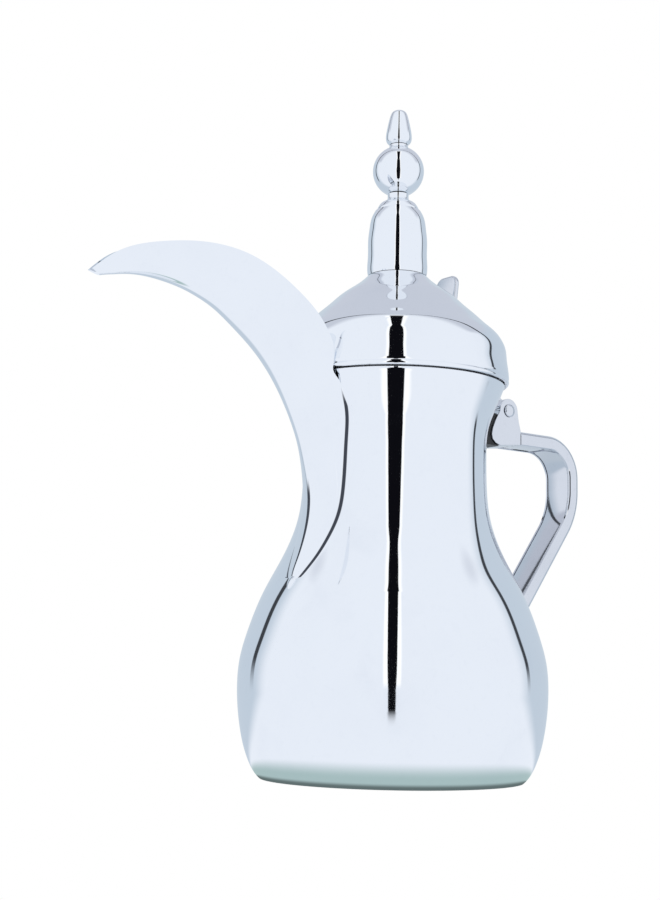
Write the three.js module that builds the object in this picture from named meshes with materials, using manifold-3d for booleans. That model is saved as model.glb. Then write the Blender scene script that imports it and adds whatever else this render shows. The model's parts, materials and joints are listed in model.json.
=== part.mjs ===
// Dallah coffee pot in polished stainless steel.
// Millimetres, +Z up, origin at the centre of the base underside, on the pot's axis.
// The handle points along +X, the spout along -X, and Y runs across the pot.
import * as THREE from 'three';
import Module from 'manifold-3d';
import { mergeVertices } from 'three/addons/utils/BufferGeometryUtils.js';

// ---- Driving dimensions ----

const FIT_GAP = 0.3;            // clearance between pieces that touch
const ROUND_SEGMENTS = 48;      // facets round the pot
const SMALL_SEGMENTS = 20;      // facets round the finial and the hinge
const STUD_SEGMENTS = 16;       // facets round the stud and the screw

// Body: a thin spun shell on a flat base disc
const BRIM_HEIGHT = 171.7;
const BRIM_RADIUS = 48.3;
const FLARE_HEIGHT = 31.7;      // from the narrowest ring of the neck up to the brim
const NECK_RADIUS = 40.3;
const BELLY_HEIGHT = 40.6;
const BELLY_RADIUS = 67.15;
const BASE_RADIUS = 56.8;
const BODY_WALL = 1.0;
const BASE_THICKNESS = 1.5;

// Spout: two pressed halves joined along the keel, open on top
const SPOUT_FOOT_HEIGHT = 79;   // where the spout's foot lands on the body
const SPOUT_REACH = 106.5;      // from the brim to the tip, along X
const SPOUT_RISE = 44;          // from the brim up to the crest of the spout's edge
const SPOUT_HALF_WIDTH = 17.5;  // at its widest, beside the lid
const SPOUT_WALL = 1.0;
const SPOUT_ALONG_COUNT = 30;   // sections from foot to tip
const SPOUT_ROUND_COUNT = 5;    // facets from keel to edge
const SPOUT_ROOT_SINK = 3;      // how far the side walls run into the neck before they are trimmed
const STRAINER_HOLE_RADIUS = 1.6;
const STRAINER_PITCH = 6;       // between holes in a row
const STRAINER_ROW_RISE = 7.5;  // between rows
const STRAINER_FOOT_MARGIN = 24; // from the spout's foot up to the lowest holes
const STRAINER_MARGIN = 14;     // left clear between the holes and the brim

// Lid
const LID_OVERHANG = 1.9;       // how far the lid's rim stands out past the brim
const LID_SKIRT_HEIGHT = 16.5;  // from the lid's lower edge to where the dome turns in
const LID_DOME_RISE = 33;       // from the top of the skirt to the flat under the finial
const LID_WALL = 1.0;
const LID_SPOUT_CLEARANCE = 0.8;
const RING_DEPTH = 8.5;         // how far the locating ring reaches down into the neck
const RING_NECK_CLEARANCE = 2.0;
const RING_WALL = 0.8;
const RING_FLANGE_HEIGHT = 3.5; // above the brim

// Finial: beads threaded on a stud
const BARREL_RADIUS = 13.3;
const BARREL_HEIGHT = 30.2;
const BARREL_WALL = 1.0;
const COLLAR_RADIUS = 9.5;
const COLLAR_HEIGHT = 7.7;
const BALL_RADIUS = 11.6;
const BEAD_NECK_RADIUS = 4.6;
const TIP_RADIUS = 5.9;
const TIP_HEIGHT = 16.5;
const STUD_RADIUS = 2.0;
const NUT_RADIUS = 4.2;
const NUT_THICKNESS = 3.2;
const WASHER_RADIUS = 6.5;
const WASHER_THICKNESS = 1.0;

// Thumb tab on the back of the lid
const TAB_DISTANCE = 28.2;      // from the pot's axis to the middle of the tab's root
const TAB_WIDTH = 14;
const TAB_THICKNESS = 2.8;
const TAB_RISE = 6.1;           // above the flat under the finial
const TAB_LEAN = 2.5;           // how far its top leans outwards

// Hinge behind the neck
const HINGE_SETBACK = 12;       // from the lid's rim out to the pin
const HINGE_DROP = 4.7;         // from the brim down to the pin
const PIN_RADIUS = 2.0;
const PIN_HEAD_RADIUS = 3.5;
const PIN_HEAD_THICKNESS = 1.4;
const CHEEK_RADIUS = 5.6;
const CHEEK_THICKNESS = 3.6;
const KNUCKLE_RADIUS = 4.5;
const LEAF_THICKNESS = 2.0;
const LEAF_LENGTH = 11;         // along the lid's skirt

// Handle: a hollow strap made of a channel and an inner strip
const HANDLE_WIDTH = 16.4;
const HANDLE_THICKNESS = 6.6;
const HANDLE_WALL = 1.0;
const HANDLE_STANDOFF = 44;     // from the pin out to the grip's centreline
const HANDLE_ARM_DROP = 12.1;   // from the pin down to the upper arm's centreline
const HANDLE_CORNER_RADIUS = 16;
const HANDLE_GRIP_LENGTH = 6;   // straight stretch below the corner
const HANDLE_BEND_RADIUS = 32;
const HANDLE_LEG_ANGLE = THREE.MathUtils.degToRad(36);
const BRACKET_NOSE = 10.8;      // from the pin towards the neck
const BRACKET_TAIL = 7.6;       // from the pin to where the handle's arm takes over
const SCREW_RADIUS = 2.0;
const SCREW_HEAD_RADIUS = 4.2;
const SCREW_HEAD_THICKNESS = 2.0;
const SCREW_HEAD_CLEARANCE = 0.4;
const SCREW_HEAD_OVERLAP = 0.5;
const SCREW_BITE = 4.2;         // how far the screw reaches into the bracket

// ---- Derived values ----

const NECK_HEIGHT = BRIM_HEIGHT - FLARE_HEIGHT;
const LID_RADIUS = BRIM_RADIUS + LID_OVERHANG;
const LID_BOTTOM = BRIM_HEIGHT + FIT_GAP;
const STRAINER_START = SPOUT_FOOT_HEIGHT + STRAINER_FOOT_MARGIN;
const LID_SHOULDER = LID_BOTTOM + LID_SKIRT_HEIGHT;
const LID_TOP = LID_SHOULDER + LID_DOME_RISE;
const HINGE_X = LID_RADIUS + HINGE_SETBACK;
const HINGE_Z = BRIM_HEIGHT - HINGE_DROP;
const HANDLE_REACH = HINGE_X + HANDLE_STANDOFF;
const HANDLE_ARM_Z = HINGE_Z - HANDLE_ARM_DROP;
const BRACKET_FRONT_X = HINGE_X - BRACKET_NOSE;
const SCREW_END = BRACKET_FRONT_X + SCREW_BITE;
const BRACKET_BACK_X = HINGE_X + BRACKET_TAIL;
const SLOT_HALF_WIDTH = HANDLE_WIDTH / 2 - CHEEK_THICKNESS;
const BRACKET_FLOOR_Z = HINGE_Z - KNUCKLE_RADIUS - 2 * FIT_GAP;
const ARM_BOTTOM_Z = HANDLE_ARM_Z - HANDLE_THICKNESS / 2;
const ARM_TOP_Z = HANDLE_ARM_Z + HANDLE_THICKNESS / 2;

// ---- Materials ----

const material = (color, roughness, metalness) => (
  new THREE.MeshStandardMaterial({ color, roughness, metalness })
);
const polishedSteel = () => material(0xd9dde6, 0.06, 1);
const satinSteel = () => material(0xb4b8be, 0.35, 1);
const blackPlastic = () => material(0x101112, 0.45, 0);

// ---- Geometry helpers ----

const wasm = await Module();
wasm.setup();

const mix = (a, b, share) => a + (b - a) * share;

// A closed geometry as a manifold solid.
function toSolid(geometry) {
  geometry.deleteAttribute('normal');
  geometry.deleteAttribute('uv');
  const merged = mergeVertices(geometry, 1e-4);
  const vertProperties = new Float32Array(merged.attributes.position.array);
  const triVerts = new Uint32Array(merged.index.array);
  return new wasm.Manifold(new wasm.Mesh({ numProp: 3, vertProperties, triVerts }));
}

function toGeometry(solid) {
  const mesh = solid.getMesh();
  const geometry = new THREE.BufferGeometry();
  geometry.setAttribute('position', new THREE.BufferAttribute(mesh.vertProperties, 3));
  geometry.setIndex(new THREE.BufferAttribute(mesh.triVerts, 1));
  geometry.computeVertexNormals();
  return geometry;
}

// Revolve a profile of [radius, height] pairs about the Z axis. The profile runs anticlockwise
// with radius to the right and height up, and starts and ends on the axis or closes on itself.
function revolve(profile, segments) {
  const points = profile.map(([radius, height]) => new THREE.Vector2(Math.max(radius, 0), height));
  const geometry = new THREE.LatheGeometry(points, segments);
  geometry.rotateX(Math.PI / 2);
  return toSolid(geometry);
}

// Extrude a side outline drawn in X and Z, centred across Y.
function extrudeAcross(shape, width, curveSegments = 12) {
  const geometry = new THREE.ExtrudeGeometry(shape, { depth: width, bevelEnabled: false, curveSegments });
  geometry.rotateX(Math.PI / 2);
  geometry.translate(0, width / 2, 0);
  return toSolid(geometry);
}

const polygon = (pairs) => new THREE.Shape(pairs.map(([x, z]) => new THREE.Vector2(x, z)));

// A cylinder along Y, centred on (x, z).
function rodAcross(x, z, radius, width) {
  const geometry = new THREE.CylinderGeometry(radius, radius, width, SMALL_SEGMENTS);
  geometry.translate(x, 0, z);
  return toSolid(geometry);
}

// A cylinder along X, from xStart to xEnd.
function rodAlong(xStart, xEnd, y, z, radius, segments) {
  const geometry = new THREE.CylinderGeometry(radius, radius, Math.abs(xEnd - xStart), segments);
  geometry.rotateZ(Math.PI / 2);
  geometry.translate((xStart + xEnd) / 2, y, z);
  return toSolid(geometry);
}

const pot = new THREE.Group();

function addPiece(name, solid, finish) {
  const mesh = new THREE.Mesh(toGeometry(solid), finish);
  mesh.name = name;
  pot.add(mesh);
}

// ---- Body ----

// Shares of the way between two named rings, as [radius share, height share].
const BASE_TO_BELLY = [[0, 0], [0.26, 0.064], [0.38, 0.128], [0.58, 0.25], [0.73, 0.38], [0.91, 0.63]];
const BELLY_TO_NECK = [[0, 0], [0.032, 0.103], [0.132, 0.206], [0.42, 0.407], [0.63, 0.513], [0.825, 0.626],
  [0.945, 0.736], [0.988, 0.843]];
const NECK_TO_BRIM = [[0, 0], [0.02, 0.25], [0.125, 0.44], [0.363, 0.6], [0.625, 0.757], [1, 1]];

// The body's outer side from the base up, as [radius, height] pairs.
function bodyOutline() {
  const stretches = [
    [BASE_TO_BELLY, [BASE_RADIUS, 0], [BELLY_RADIUS, BELLY_HEIGHT]],
    [BELLY_TO_NECK, [BELLY_RADIUS, BELLY_HEIGHT], [NECK_RADIUS, NECK_HEIGHT]],
    [NECK_TO_BRIM, [NECK_RADIUS, NECK_HEIGHT], [BRIM_RADIUS, BRIM_HEIGHT]],
  ];
  return stretches.flatMap(([shares, from, to]) => shares.map(
    ([radiusShare, heightShare]) => [mix(from[0], to[0], radiusShare), mix(from[1], to[1], heightShare)],
  ));
}

const BODY_OUTLINE = bodyOutline();

// The radius of an outline of [radius, height] pairs at one height.
function radiusAt(outline, height) {
  for (let i = 1; i < outline.length; i += 1) {
    const [lowRadius, low] = outline[i - 1];
    const [highRadius, high] = outline[i];
    if (height <= high) return mix(lowRadius, highRadius, (height - low) / (high - low));
  }
  return outline[outline.length - 1][0];
}

const bodyRadius = (height) => radiusAt(BODY_OUTLINE, height);

// Solid of everything inside an outline, grown by a gap. Pieces that land on the body are cut by it.
function filled(outline, gap, segments) {
  const grown = outline.map(([radius, height]) => [radius + gap, height]);
  const bottom = outline[0][1];
  const top = outline[outline.length - 1][1];
  return revolve([[0, bottom], ...grown, [0, top]], segments);
}

function strainerHoles() {
  const holes = [];
  let inRow = 3;
  for (let z = STRAINER_START; z < BRIM_HEIGHT - STRAINER_MARGIN; z += STRAINER_ROW_RISE) {
    for (let i = 0; i < inRow; i += 1) {
      const y = (i - (inRow - 1) / 2) * STRAINER_PITCH;
      holes.push(rodAlong(-BELLY_RADIUS, 0, y, z, STRAINER_HOLE_RADIUS, 10));
    }
    inRow = 5 - inRow;
  }
  return holes;
}

function bodyShell() {
  const inner = BODY_OUTLINE.map(([radius, height]) => [radius - BODY_WALL, height]).reverse();
  let shell = revolve([...BODY_OUTLINE, ...inner, BODY_OUTLINE[0]], ROUND_SEGMENTS);
  for (const hole of strainerHoles()) {
    shell = shell.subtract(hole);
  }
  return shell.subtract(rodAlong(0, BELLY_RADIUS, 0, HANDLE_ARM_Z, SCREW_RADIUS + FIT_GAP, STUD_SEGMENTS));
}

function baseDisc() {
  const radius = BASE_RADIUS - BODY_WALL - FIT_GAP;
  return revolve([[0, 0], [radius, 0], [radius, BASE_THICKNESS], [0, BASE_THICKNESS]], ROUND_SEGMENTS);
}

// ---- Spout ----

// Along the neck: [height share from foot to brim, how far the keel stands proud, half width]
const SPOUT_ROOT = [
  [0, -1.5, 3],
  [0.07, 1.1, 5.5],
  [0.13, 1.9, 8],
  [0.22, 2.8, 10.3],
  [0.32, 3.8, 12],
  [0.45, 5.4, 12.6],
  [0.57, 8.2, 12.8],
  [0.68, 11.3, 13.1],
  [0.78, 14.8, 13.9],
];

// Beyond the neck, as shares of reach, rise and half width: [keel out, keel up, edge out, edge up, width]
const SPOUT_BEAK = [
  [0.162, -0.085, -0.04, 0.0, 0.94],
  [0.275, 0.195, 0.06, 0.43, 1.0],
  [0.364, 0.352, 0.165, 0.655, 0.96],
  [0.445, 0.475, 0.29, 0.85, 0.86],
  [0.53, 0.56, 0.41, 0.965, 0.73],
  [0.635, 0.625, 0.56, 1.0, 0.57],
  [0.75, 0.655, 0.7, 0.96, 0.42],
  [0.84, 0.645, 0.825, 0.885, 0.27],
  [0.92, 0.605, 0.925, 0.76, 0.17],
  [0.965, 0.565, 1.0, 0.6, 0.1],
];

function spoutStations() {
  const root = SPOUT_ROOT.map(([share, proud, halfWidth]) => {
    const height = mix(SPOUT_FOOT_HEIGHT, BRIM_HEIGHT, share);
    const radius = bodyRadius(height);
    return {
      keel: new THREE.Vector3(-radius - proud, 0, height),
      edge: new THREE.Vector3(SPOUT_ROOT_SINK - Math.sqrt(radius ** 2 - halfWidth ** 2), halfWidth, height),
    };
  });
  const beak = SPOUT_BEAK.map(([keelOut, keelUp, edgeOut, edgeUp, width]) => ({
    keel: new THREE.Vector3(-BRIM_RADIUS - keelOut * SPOUT_REACH, 0, BRIM_HEIGHT + keelUp * SPOUT_RISE),
    edge: new THREE.Vector3(
      -BRIM_RADIUS - edgeOut * SPOUT_REACH, width * SPOUT_HALF_WIDTH, BRIM_HEIGHT + edgeUp * SPOUT_RISE,
    ),
  }));
  return [...root, ...beak];
}

// A quarter ellipse from the keel to the edge, as x, y, z numbers.
function spoutQuarter(keel, edge, halfWidth) {
  const points = [];
  for (let j = 0; j <= SPOUT_ROUND_COUNT; j += 1) {
    const angle = (j / SPOUT_ROUND_COUNT) * Math.PI / 2;
    points.push([
      mix(edge.x, keel.x, Math.cos(angle)),
      mix(FIT_GAP / 2, halfWidth, Math.sin(angle)),
      mix(edge.z, keel.z, Math.cos(angle)),
    ]);
  }
  return points;
}

// One half of the spout, on the +Y side. Each section runs out along its outer side and back inside.
function spoutHalf() {
  const stations = spoutStations();
  const keelCurve = new THREE.CatmullRomCurve3(stations.map((station) => station.keel));
  const edgeCurve = new THREE.CatmullRomCurve3(stations.map((station) => station.edge));
  const positions = [];
  for (let i = 0; i <= SPOUT_ALONG_COUNT; i += 1) {
    const keel = keelCurve.getPoint(i / SPOUT_ALONG_COUNT);
    const edge = edgeCurve.getPoint(i / SPOUT_ALONG_COUNT);
    const depth = Math.hypot(keel.x - edge.x, keel.z - edge.z);
    const innerKeel = keel.clone().lerp(edge, SPOUT_WALL / depth);
    const innerHalfWidth = Math.max(edge.y - SPOUT_WALL, FIT_GAP);
    const outer = spoutQuarter(keel, edge, edge.y);
    const inner = spoutQuarter(innerKeel, edge, innerHalfWidth).reverse();
    positions.push(...outer.flat(), ...inner.flat());
  }
  const ring = 2 * (SPOUT_ROUND_COUNT + 1);
  const indices = [];
  for (let i = 0; i < SPOUT_ALONG_COUNT; i += 1) {
    for (let j = 0; j < ring; j += 1) {
      const a = i * ring + j;
      const b = i * ring + (j + 1) % ring;
      indices.push(a, a + ring, b, b, a + ring, b + ring);
    }
  }
  const last = SPOUT_ALONG_COUNT * ring;
  for (let j = 0; j < SPOUT_ROUND_COUNT; j += 1) {
    const inner = ring - 1 - j;
    indices.push(j, j + 1, inner, inner, j + 1, inner - 1);
    indices.push(last + j, last + inner, last + j + 1, last + inner, last + inner - 1, last + j + 1);
  }
  const geometry = new THREE.BufferGeometry();
  geometry.setAttribute('position', new THREE.Float32BufferAttribute(positions, 3));
  geometry.setIndex(indices);
  return toSolid(geometry);
}

// Everything the spout has to stay clear of: the body, and the lid's rim as it sits on the brim.
function spoutKeepOut() {
  const lidZone = [[0, BRIM_HEIGHT - 1], [LID_RADIUS + LID_SPOUT_CLEARANCE, BRIM_HEIGHT - 1],
    [LID_RADIUS + LID_SPOUT_CLEARANCE, LID_TOP], [0, LID_TOP]];
  return filled(BODY_OUTLINE, FIT_GAP, ROUND_SEGMENTS).add(revolve(lidZone, ROUND_SEGMENTS));
}

// ---- Handle ----

// How far the leg runs from the bend until it is well inside the body, where it is trimmed.
function legLength(bendEnd) {
  let length = 0;
  let x = bendEnd.x;
  let z = bendEnd.y;
  while (z > 0 && x > bodyRadius(z) - HANDLE_THICKNESS) {
    length += 1;
    x = bendEnd.x - length * Math.sin(HANDLE_LEG_ANGLE);
    z = bendEnd.y - length * Math.cos(HANDLE_LEG_ANGLE);
  }
  return length;
}

// Centreline of the handle as a path in X and Z: arm, corner, grip, bend and leg.
function handleCentreline() {
  const gripBottom = HANDLE_ARM_Z - HANDLE_CORNER_RADIUS - HANDLE_GRIP_LENGTH;
  const path = new THREE.Path();
  path.moveTo(BRACKET_BACK_X + FIT_GAP, HANDLE_ARM_Z);
  path.lineTo(HANDLE_REACH - HANDLE_CORNER_RADIUS, HANDLE_ARM_Z);
  const cornerX = HANDLE_REACH - HANDLE_CORNER_RADIUS;
  const cornerZ = HANDLE_ARM_Z - HANDLE_CORNER_RADIUS;
  path.absarc(cornerX, cornerZ, HANDLE_CORNER_RADIUS, Math.PI / 2, 0, true);
  path.lineTo(HANDLE_REACH, gripBottom);
  path.absarc(HANDLE_REACH - HANDLE_BEND_RADIUS, gripBottom, HANDLE_BEND_RADIUS, 0, -HANDLE_LEG_ANGLE, true);
  const bendEnd = path.currentPoint.clone();
  const leg = legLength(bendEnd);
  path.lineTo(bendEnd.x - leg * Math.sin(HANDLE_LEG_ANGLE), bendEnd.y - leg * Math.cos(HANDLE_LEG_ANGLE));
  return path.getPoints(10);
}

// The handle's side outline between two distances from its centreline, outwards positive.
function handleOutline(outerOffset, innerOffset) {
  const points = handleCentreline();
  const side = (offset) => points.map((point, i) => {
    const before = points[Math.max(i - 1, 0)];
    const after = points[Math.min(i + 1, points.length - 1)];
    const tangent = after.clone().sub(before).normalize();
    return [point.x - tangent.y * offset, point.y + tangent.x * offset];
  });
  return polygon([...side(outerOffset), ...side(innerOffset).reverse()]);
}

function handleOuterShell(bodySolid) {
  const half = HANDLE_THICKNESS / 2;
  const strap = extrudeAcross(handleOutline(half, -half), HANDLE_WIDTH);
  const trough = extrudeAcross(handleOutline(half - HANDLE_WALL, -half - 1), HANDLE_WIDTH - 2 * HANDLE_WALL);
  return strap.subtract(trough).subtract(bodySolid);
}

function handleInnerStrip(bodySolid) {
  const half = HANDLE_THICKNESS / 2;
  const width = HANDLE_WIDTH - 2 * (HANDLE_WALL + FIT_GAP);
  return extrudeAcross(handleOutline(HANDLE_WALL - half, -half), width).subtract(bodySolid);
}

// ---- Hinge bracket, its spacer and its screw ----

// Front edge of the bracket, grown towards the neck by a gap.
function bracketFront(gap) {
  return [
    [BRACKET_FRONT_X + 5.6, ARM_BOTTOM_Z - 1.3 - gap],
    [BRACKET_FRONT_X + 2.6 - gap, ARM_BOTTOM_Z - 0.5 - gap],
    [BRACKET_FRONT_X + 0.6 - gap, ARM_BOTTOM_Z + 1.2],
    [BRACKET_FRONT_X - gap, ARM_BOTTOM_Z + 3.4],
    [BRACKET_FRONT_X + 0.7 - gap, ARM_BOTTOM_Z + 6.4],
    [HINGE_X - CHEEK_RADIUS - gap, HINGE_Z - 0.6],
  ];
}

function hingeBracket() {
  const shape = new THREE.Shape();
  shape.moveTo(BRACKET_BACK_X, ARM_BOTTOM_Z);
  for (const [x, z] of bracketFront(0)) {
    shape.lineTo(x, z);
  }
  shape.absarc(HINGE_X, HINGE_Z, CHEEK_RADIUS, Math.PI, 0, true);
  shape.lineTo(BRACKET_BACK_X - 1.2, ARM_TOP_Z + 4);
  shape.lineTo(BRACKET_BACK_X, ARM_TOP_Z);
  const block = extrudeAcross(shape, HANDLE_WIDTH);
  const slotHeight = 2 * CHEEK_RADIUS + KNUCKLE_RADIUS;
  const slotGeometry = new THREE.BoxGeometry(4 * CHEEK_RADIUS, 2 * SLOT_HALF_WIDTH, slotHeight);
  slotGeometry.translate(HINGE_X, 0, BRACKET_FLOOR_Z + slotHeight / 2);
  return block
    .subtract(toSolid(slotGeometry))
    .subtract(rodAcross(HINGE_X, HINGE_Z, PIN_RADIUS + FIT_GAP, 2 * HANDLE_WIDTH))
    .subtract(rodAlong(0, SCREW_END + FIT_GAP, 0, HANDLE_ARM_Z, SCREW_RADIUS + FIT_GAP, STUD_SEGMENTS));
}

function handleSpacer(bodySolid) {
  const top = HINGE_Z - 2;
  const front = bracketFront(FIT_GAP).filter(([, z]) => z < top);
  const outline = [[NECK_RADIUS / 2, ARM_BOTTOM_Z - 1.3], ...front, [HINGE_X - CHEEK_RADIUS - 1.3, top],
    [NECK_RADIUS / 2, top]];
  return extrudeAcross(polygon(outline), HANDLE_WIDTH - 2)
    .subtract(bodySolid)
    .subtract(rodAlong(0, HINGE_X, 0, HANDLE_ARM_Z, SCREW_RADIUS + FIT_GAP, STUD_SEGMENTS));
}

// The screw passes from inside the neck through the spacer into the bracket.
// The screw's head lies inside the neck, clear of the wall wherever the wall comes nearest to it.
function bracketScrew() {
  const heights = [-1, -0.5, 0, 0.5, 1].map((share) => HANDLE_ARM_Z + share * SCREW_HEAD_RADIUS);
  const narrowest = Math.min(...heights.map(bodyRadius)) * Math.cos(Math.PI / ROUND_SEGMENTS);
  const wallInside = narrowest - BODY_WALL - SCREW_HEAD_CLEARANCE;
  const headOutside = Math.sqrt(wallInside ** 2 - SCREW_HEAD_RADIUS ** 2);
  const headInside = headOutside - SCREW_HEAD_THICKNESS;
  const head = rodAlong(headInside, headOutside, 0, HANDLE_ARM_Z, SCREW_HEAD_RADIUS, SMALL_SEGMENTS);
  const shankStart = headOutside - SCREW_HEAD_OVERLAP;
  const shank = rodAlong(shankStart, SCREW_END, 0, HANDLE_ARM_Z, SCREW_RADIUS, STUD_SEGMENTS);
  return head.add(shank);
}

function hingePin() {
  const shankHalf = HANDLE_WIDTH / 2 + FIT_GAP;
  const flatRadius = 0.6 * PIN_HEAD_RADIUS;
  const flatHeight = shankHalf + 0.8 * PIN_HEAD_THICKNESS;
  const crownHeight = shankHalf + PIN_HEAD_THICKNESS;
  const profile = [
    [0, -crownHeight],
    [flatRadius, -flatHeight],
    [PIN_HEAD_RADIUS, -shankHalf],
    [PIN_RADIUS, -shankHalf],
    [PIN_RADIUS, shankHalf],
    [PIN_HEAD_RADIUS, shankHalf],
    [flatRadius, flatHeight],
    [0, crownHeight],
  ];
  return revolve(profile, SMALL_SEGMENTS).rotate([90, 0, 0]).translate([HINGE_X, 0, HINGE_Z]);
}

// ---- Lid ----

// Outer side of the lid: a rim, a slightly tapering skirt, a shoulder and a hollow-sided dome.
function lidOutline() {
  const dome = [[0.975, 0.06], [0.915, 0.16], [0.79, 0.28], [0.65, 0.42], [0.5, 0.56], [0.36, 0.7],
    [0.1, 0.9]];
  const skirt = [
    [LID_RADIUS - 0.1, LID_BOTTOM],
    [LID_RADIUS, LID_BOTTOM + 0.2 * LID_SKIRT_HEIGHT],
    [LID_RADIUS - 1.1, LID_BOTTOM + 0.7 * LID_SKIRT_HEIGHT],
    [LID_RADIUS - 1.7, LID_SHOULDER],
  ];
  const knots = dome.map(([radiusShare, heightShare]) => [
    mix(BARREL_RADIUS, LID_RADIUS - 1.7, radiusShare), mix(LID_SHOULDER, LID_TOP, heightShare),
  ]);
  const outline = [...skirt, ...knots, [BARREL_RADIUS, LID_TOP]];
  const curve = new THREE.SplineCurve(outline.map(([radius, height]) => new THREE.Vector2(radius, height)));
  return curve.getSpacedPoints(13).map((point) => [point.x, point.y]);
}

const LID_OUTLINE = lidOutline();

function lidShell() {
  const outer = LID_OUTLINE;
  const innerSide = outer.map(([radius, height], i) => {
    const [radiusBefore, heightBefore] = outer[Math.max(i - 1, 0)];
    const [radiusAfter, heightAfter] = outer[Math.min(i + 1, outer.length - 1)];
    const length = Math.hypot(radiusAfter - radiusBefore, heightAfter - heightBefore);
    const outward = [(heightAfter - heightBefore) / length, (radiusBefore - radiusAfter) / length];
    return [radius - LID_WALL * outward[0], Math.max(height - LID_WALL * outward[1], LID_BOTTOM)];
  }).reverse();
  const bore = STUD_RADIUS + FIT_GAP;
  const innerTop = LID_TOP - LID_WALL;
  const top = [[bore, LID_TOP], [bore, innerTop], [BARREL_RADIUS - 2 * LID_WALL, innerTop]];
  return revolve([...outer, ...top, ...innerSide.slice(1), outer[0]], ROUND_SEGMENTS);
}

function locatingRing() {
  const bottom = BRIM_HEIGHT - RING_DEPTH;
  const outer = bodyRadius(bottom) - BODY_WALL - RING_NECK_CLEARANCE;
  const inner = outer - RING_WALL;
  const flangeBottom = BRIM_HEIGHT + RING_FLANGE_HEIGHT;
  const flangeTop = flangeBottom + RING_WALL;
  const flangeRadius = LID_RADIUS - 0.5 - LID_WALL - FIT_GAP;
  return revolve([[inner, bottom], [outer, bottom], [outer, flangeBottom], [flangeRadius, flangeBottom],
    [flangeRadius, flangeTop], [inner, flangeTop], [inner, bottom]], ROUND_SEGMENTS);
}

// The leaf lies on the lid's skirt and comes down between the bracket's cheeks to the pin.
function lidHingeLeaf() {
  const width = 2 * (SLOT_HALF_WIDTH - FIT_GAP);
  const plateBottom = LID_BOTTOM + 3.5;
  const plateX = LID_RADIUS + LEAF_THICKNESS + FIT_GAP;
  const strap = polygon([
    [LID_RADIUS - 4, plateBottom + LEAF_LENGTH],
    [LID_RADIUS - 4, plateBottom],
    [LID_RADIUS + 1, plateBottom - 1],
    [HINGE_X - KNUCKLE_RADIUS + 0.4, HINGE_Z + 1],
    [HINGE_X, HINGE_Z],
    [HINGE_X + 1.2, HINGE_Z + KNUCKLE_RADIUS - 0.2],
    [plateX, plateBottom + 3],
    [plateX, plateBottom + LEAF_LENGTH],
  ].reverse());
  const lidSolid = filled(LID_OUTLINE, FIT_GAP, ROUND_SEGMENTS);
  return extrudeAcross(strap, width)
    .add(rodAcross(HINGE_X, HINGE_Z, KNUCKLE_RADIUS, width))
    .subtract(rodAcross(HINGE_X, HINGE_Z, PIN_RADIUS + FIT_GAP, 2 * width))
    .subtract(lidSolid);
}

// The height of the lid's outer side at one distance from the axis.
function lidHeight(radius) {
  const isInside = ([outlineRadius, height]) => outlineRadius < radius && height > LID_SHOULDER;
  const index = LID_OUTLINE.findIndex(isInside);
  const [outerRadius, low] = LID_OUTLINE[index - 1];
  const [innerRadius, high] = LID_OUTLINE[index];
  return mix(low, high, (outerRadius - radius) / (outerRadius - innerRadius));
}

function thumbTab() {
  const foot = lidHeight(TAB_DISTANCE + TAB_THICKNESS);
  const top = LID_TOP + TAB_RISE;
  const height = top - foot;
  const front = TAB_DISTANCE - TAB_THICKNESS / 2;
  const back = TAB_DISTANCE + TAB_THICKNESS / 2;
  const outline = [
    [front, foot - 3], [back, foot - 3], [back + 0.35 * TAB_LEAN, foot + 0.4 * height],
    [back + TAB_LEAN, top - 2.5], [front + TAB_LEAN + 0.6, top - 1], [front + 0.5 * TAB_LEAN, top - 0.6],
    [front + 0.4 * TAB_LEAN, foot + 0.6 * height],
  ];
  return extrudeAcross(polygon(outline), TAB_WIDTH).subtract(filled(LID_OUTLINE, FIT_GAP, ROUND_SEGMENTS));
}

// ---- Finial ----

const BARREL_BOTTOM = LID_TOP + FIT_GAP;
const BARREL_TOP = BARREL_BOTTOM + BARREL_HEIGHT;
const COLLAR_BOTTOM = BARREL_TOP + FIT_GAP;
const BALL_BOTTOM = COLLAR_BOTTOM + COLLAR_HEIGHT + FIT_GAP;
const BALL_CENTRE = BALL_BOTTOM + Math.sqrt(BALL_RADIUS ** 2 - BEAD_NECK_RADIUS ** 2);
const BALL_TOP = 2 * BALL_CENTRE - BALL_BOTTOM + 1.6;
const TIP_BOTTOM = BALL_TOP + FIT_GAP;
const STUD_TOP = TIP_BOTTOM + 0.5 * TIP_HEIGHT;
const WASHER_TOP = LID_TOP - LID_WALL - FIT_GAP;
const NUT_TOP = WASHER_TOP - WASHER_THICKNESS - FIT_GAP;

const BORE = STUD_RADIUS + FIT_GAP;

// A bead with a through bore for the stud. The side runs from the bottom up.
const bead = (side) => revolve(
  [[BORE, side[0][1]], ...side, [BORE, side[side.length - 1][1]], [BORE, side[0][1]]], SMALL_SEGMENTS,
);

function finialBarrel() {
  const side = [[0, 0], [0, 0.56], [0.9, 0.75], [1.5, 0.84], [2.2, 0.93], [3, 1]].map(
    ([drawnIn, share]) => [BARREL_RADIUS - drawnIn, BARREL_BOTTOM + share * BARREL_HEIGHT],
  );
  const inside = side.slice(0, -1).map(([radius, height]) => [radius - BARREL_WALL, height]).reverse();
  const ceiling = BARREL_TOP - BARREL_WALL;
  const top = [[BORE, BARREL_TOP], [BORE, ceiling], [inside[0][0] - BARREL_WALL, ceiling]];
  return revolve([...side, ...top, ...inside.slice(1), side[0]], SMALL_SEGMENTS);
}

function finialCollar() {
  const shares = [[1, 0], [0.97, 0.15], [0.86, 0.38], [0.7, 0.52], [0.54, 0.62], [0.5, 0.8], [0.5, 1]];
  return bead(shares.map(
    ([radiusShare, share]) => [COLLAR_RADIUS * radiusShare, COLLAR_BOTTOM + share * COLLAR_HEIGHT],
  ));
}

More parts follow.
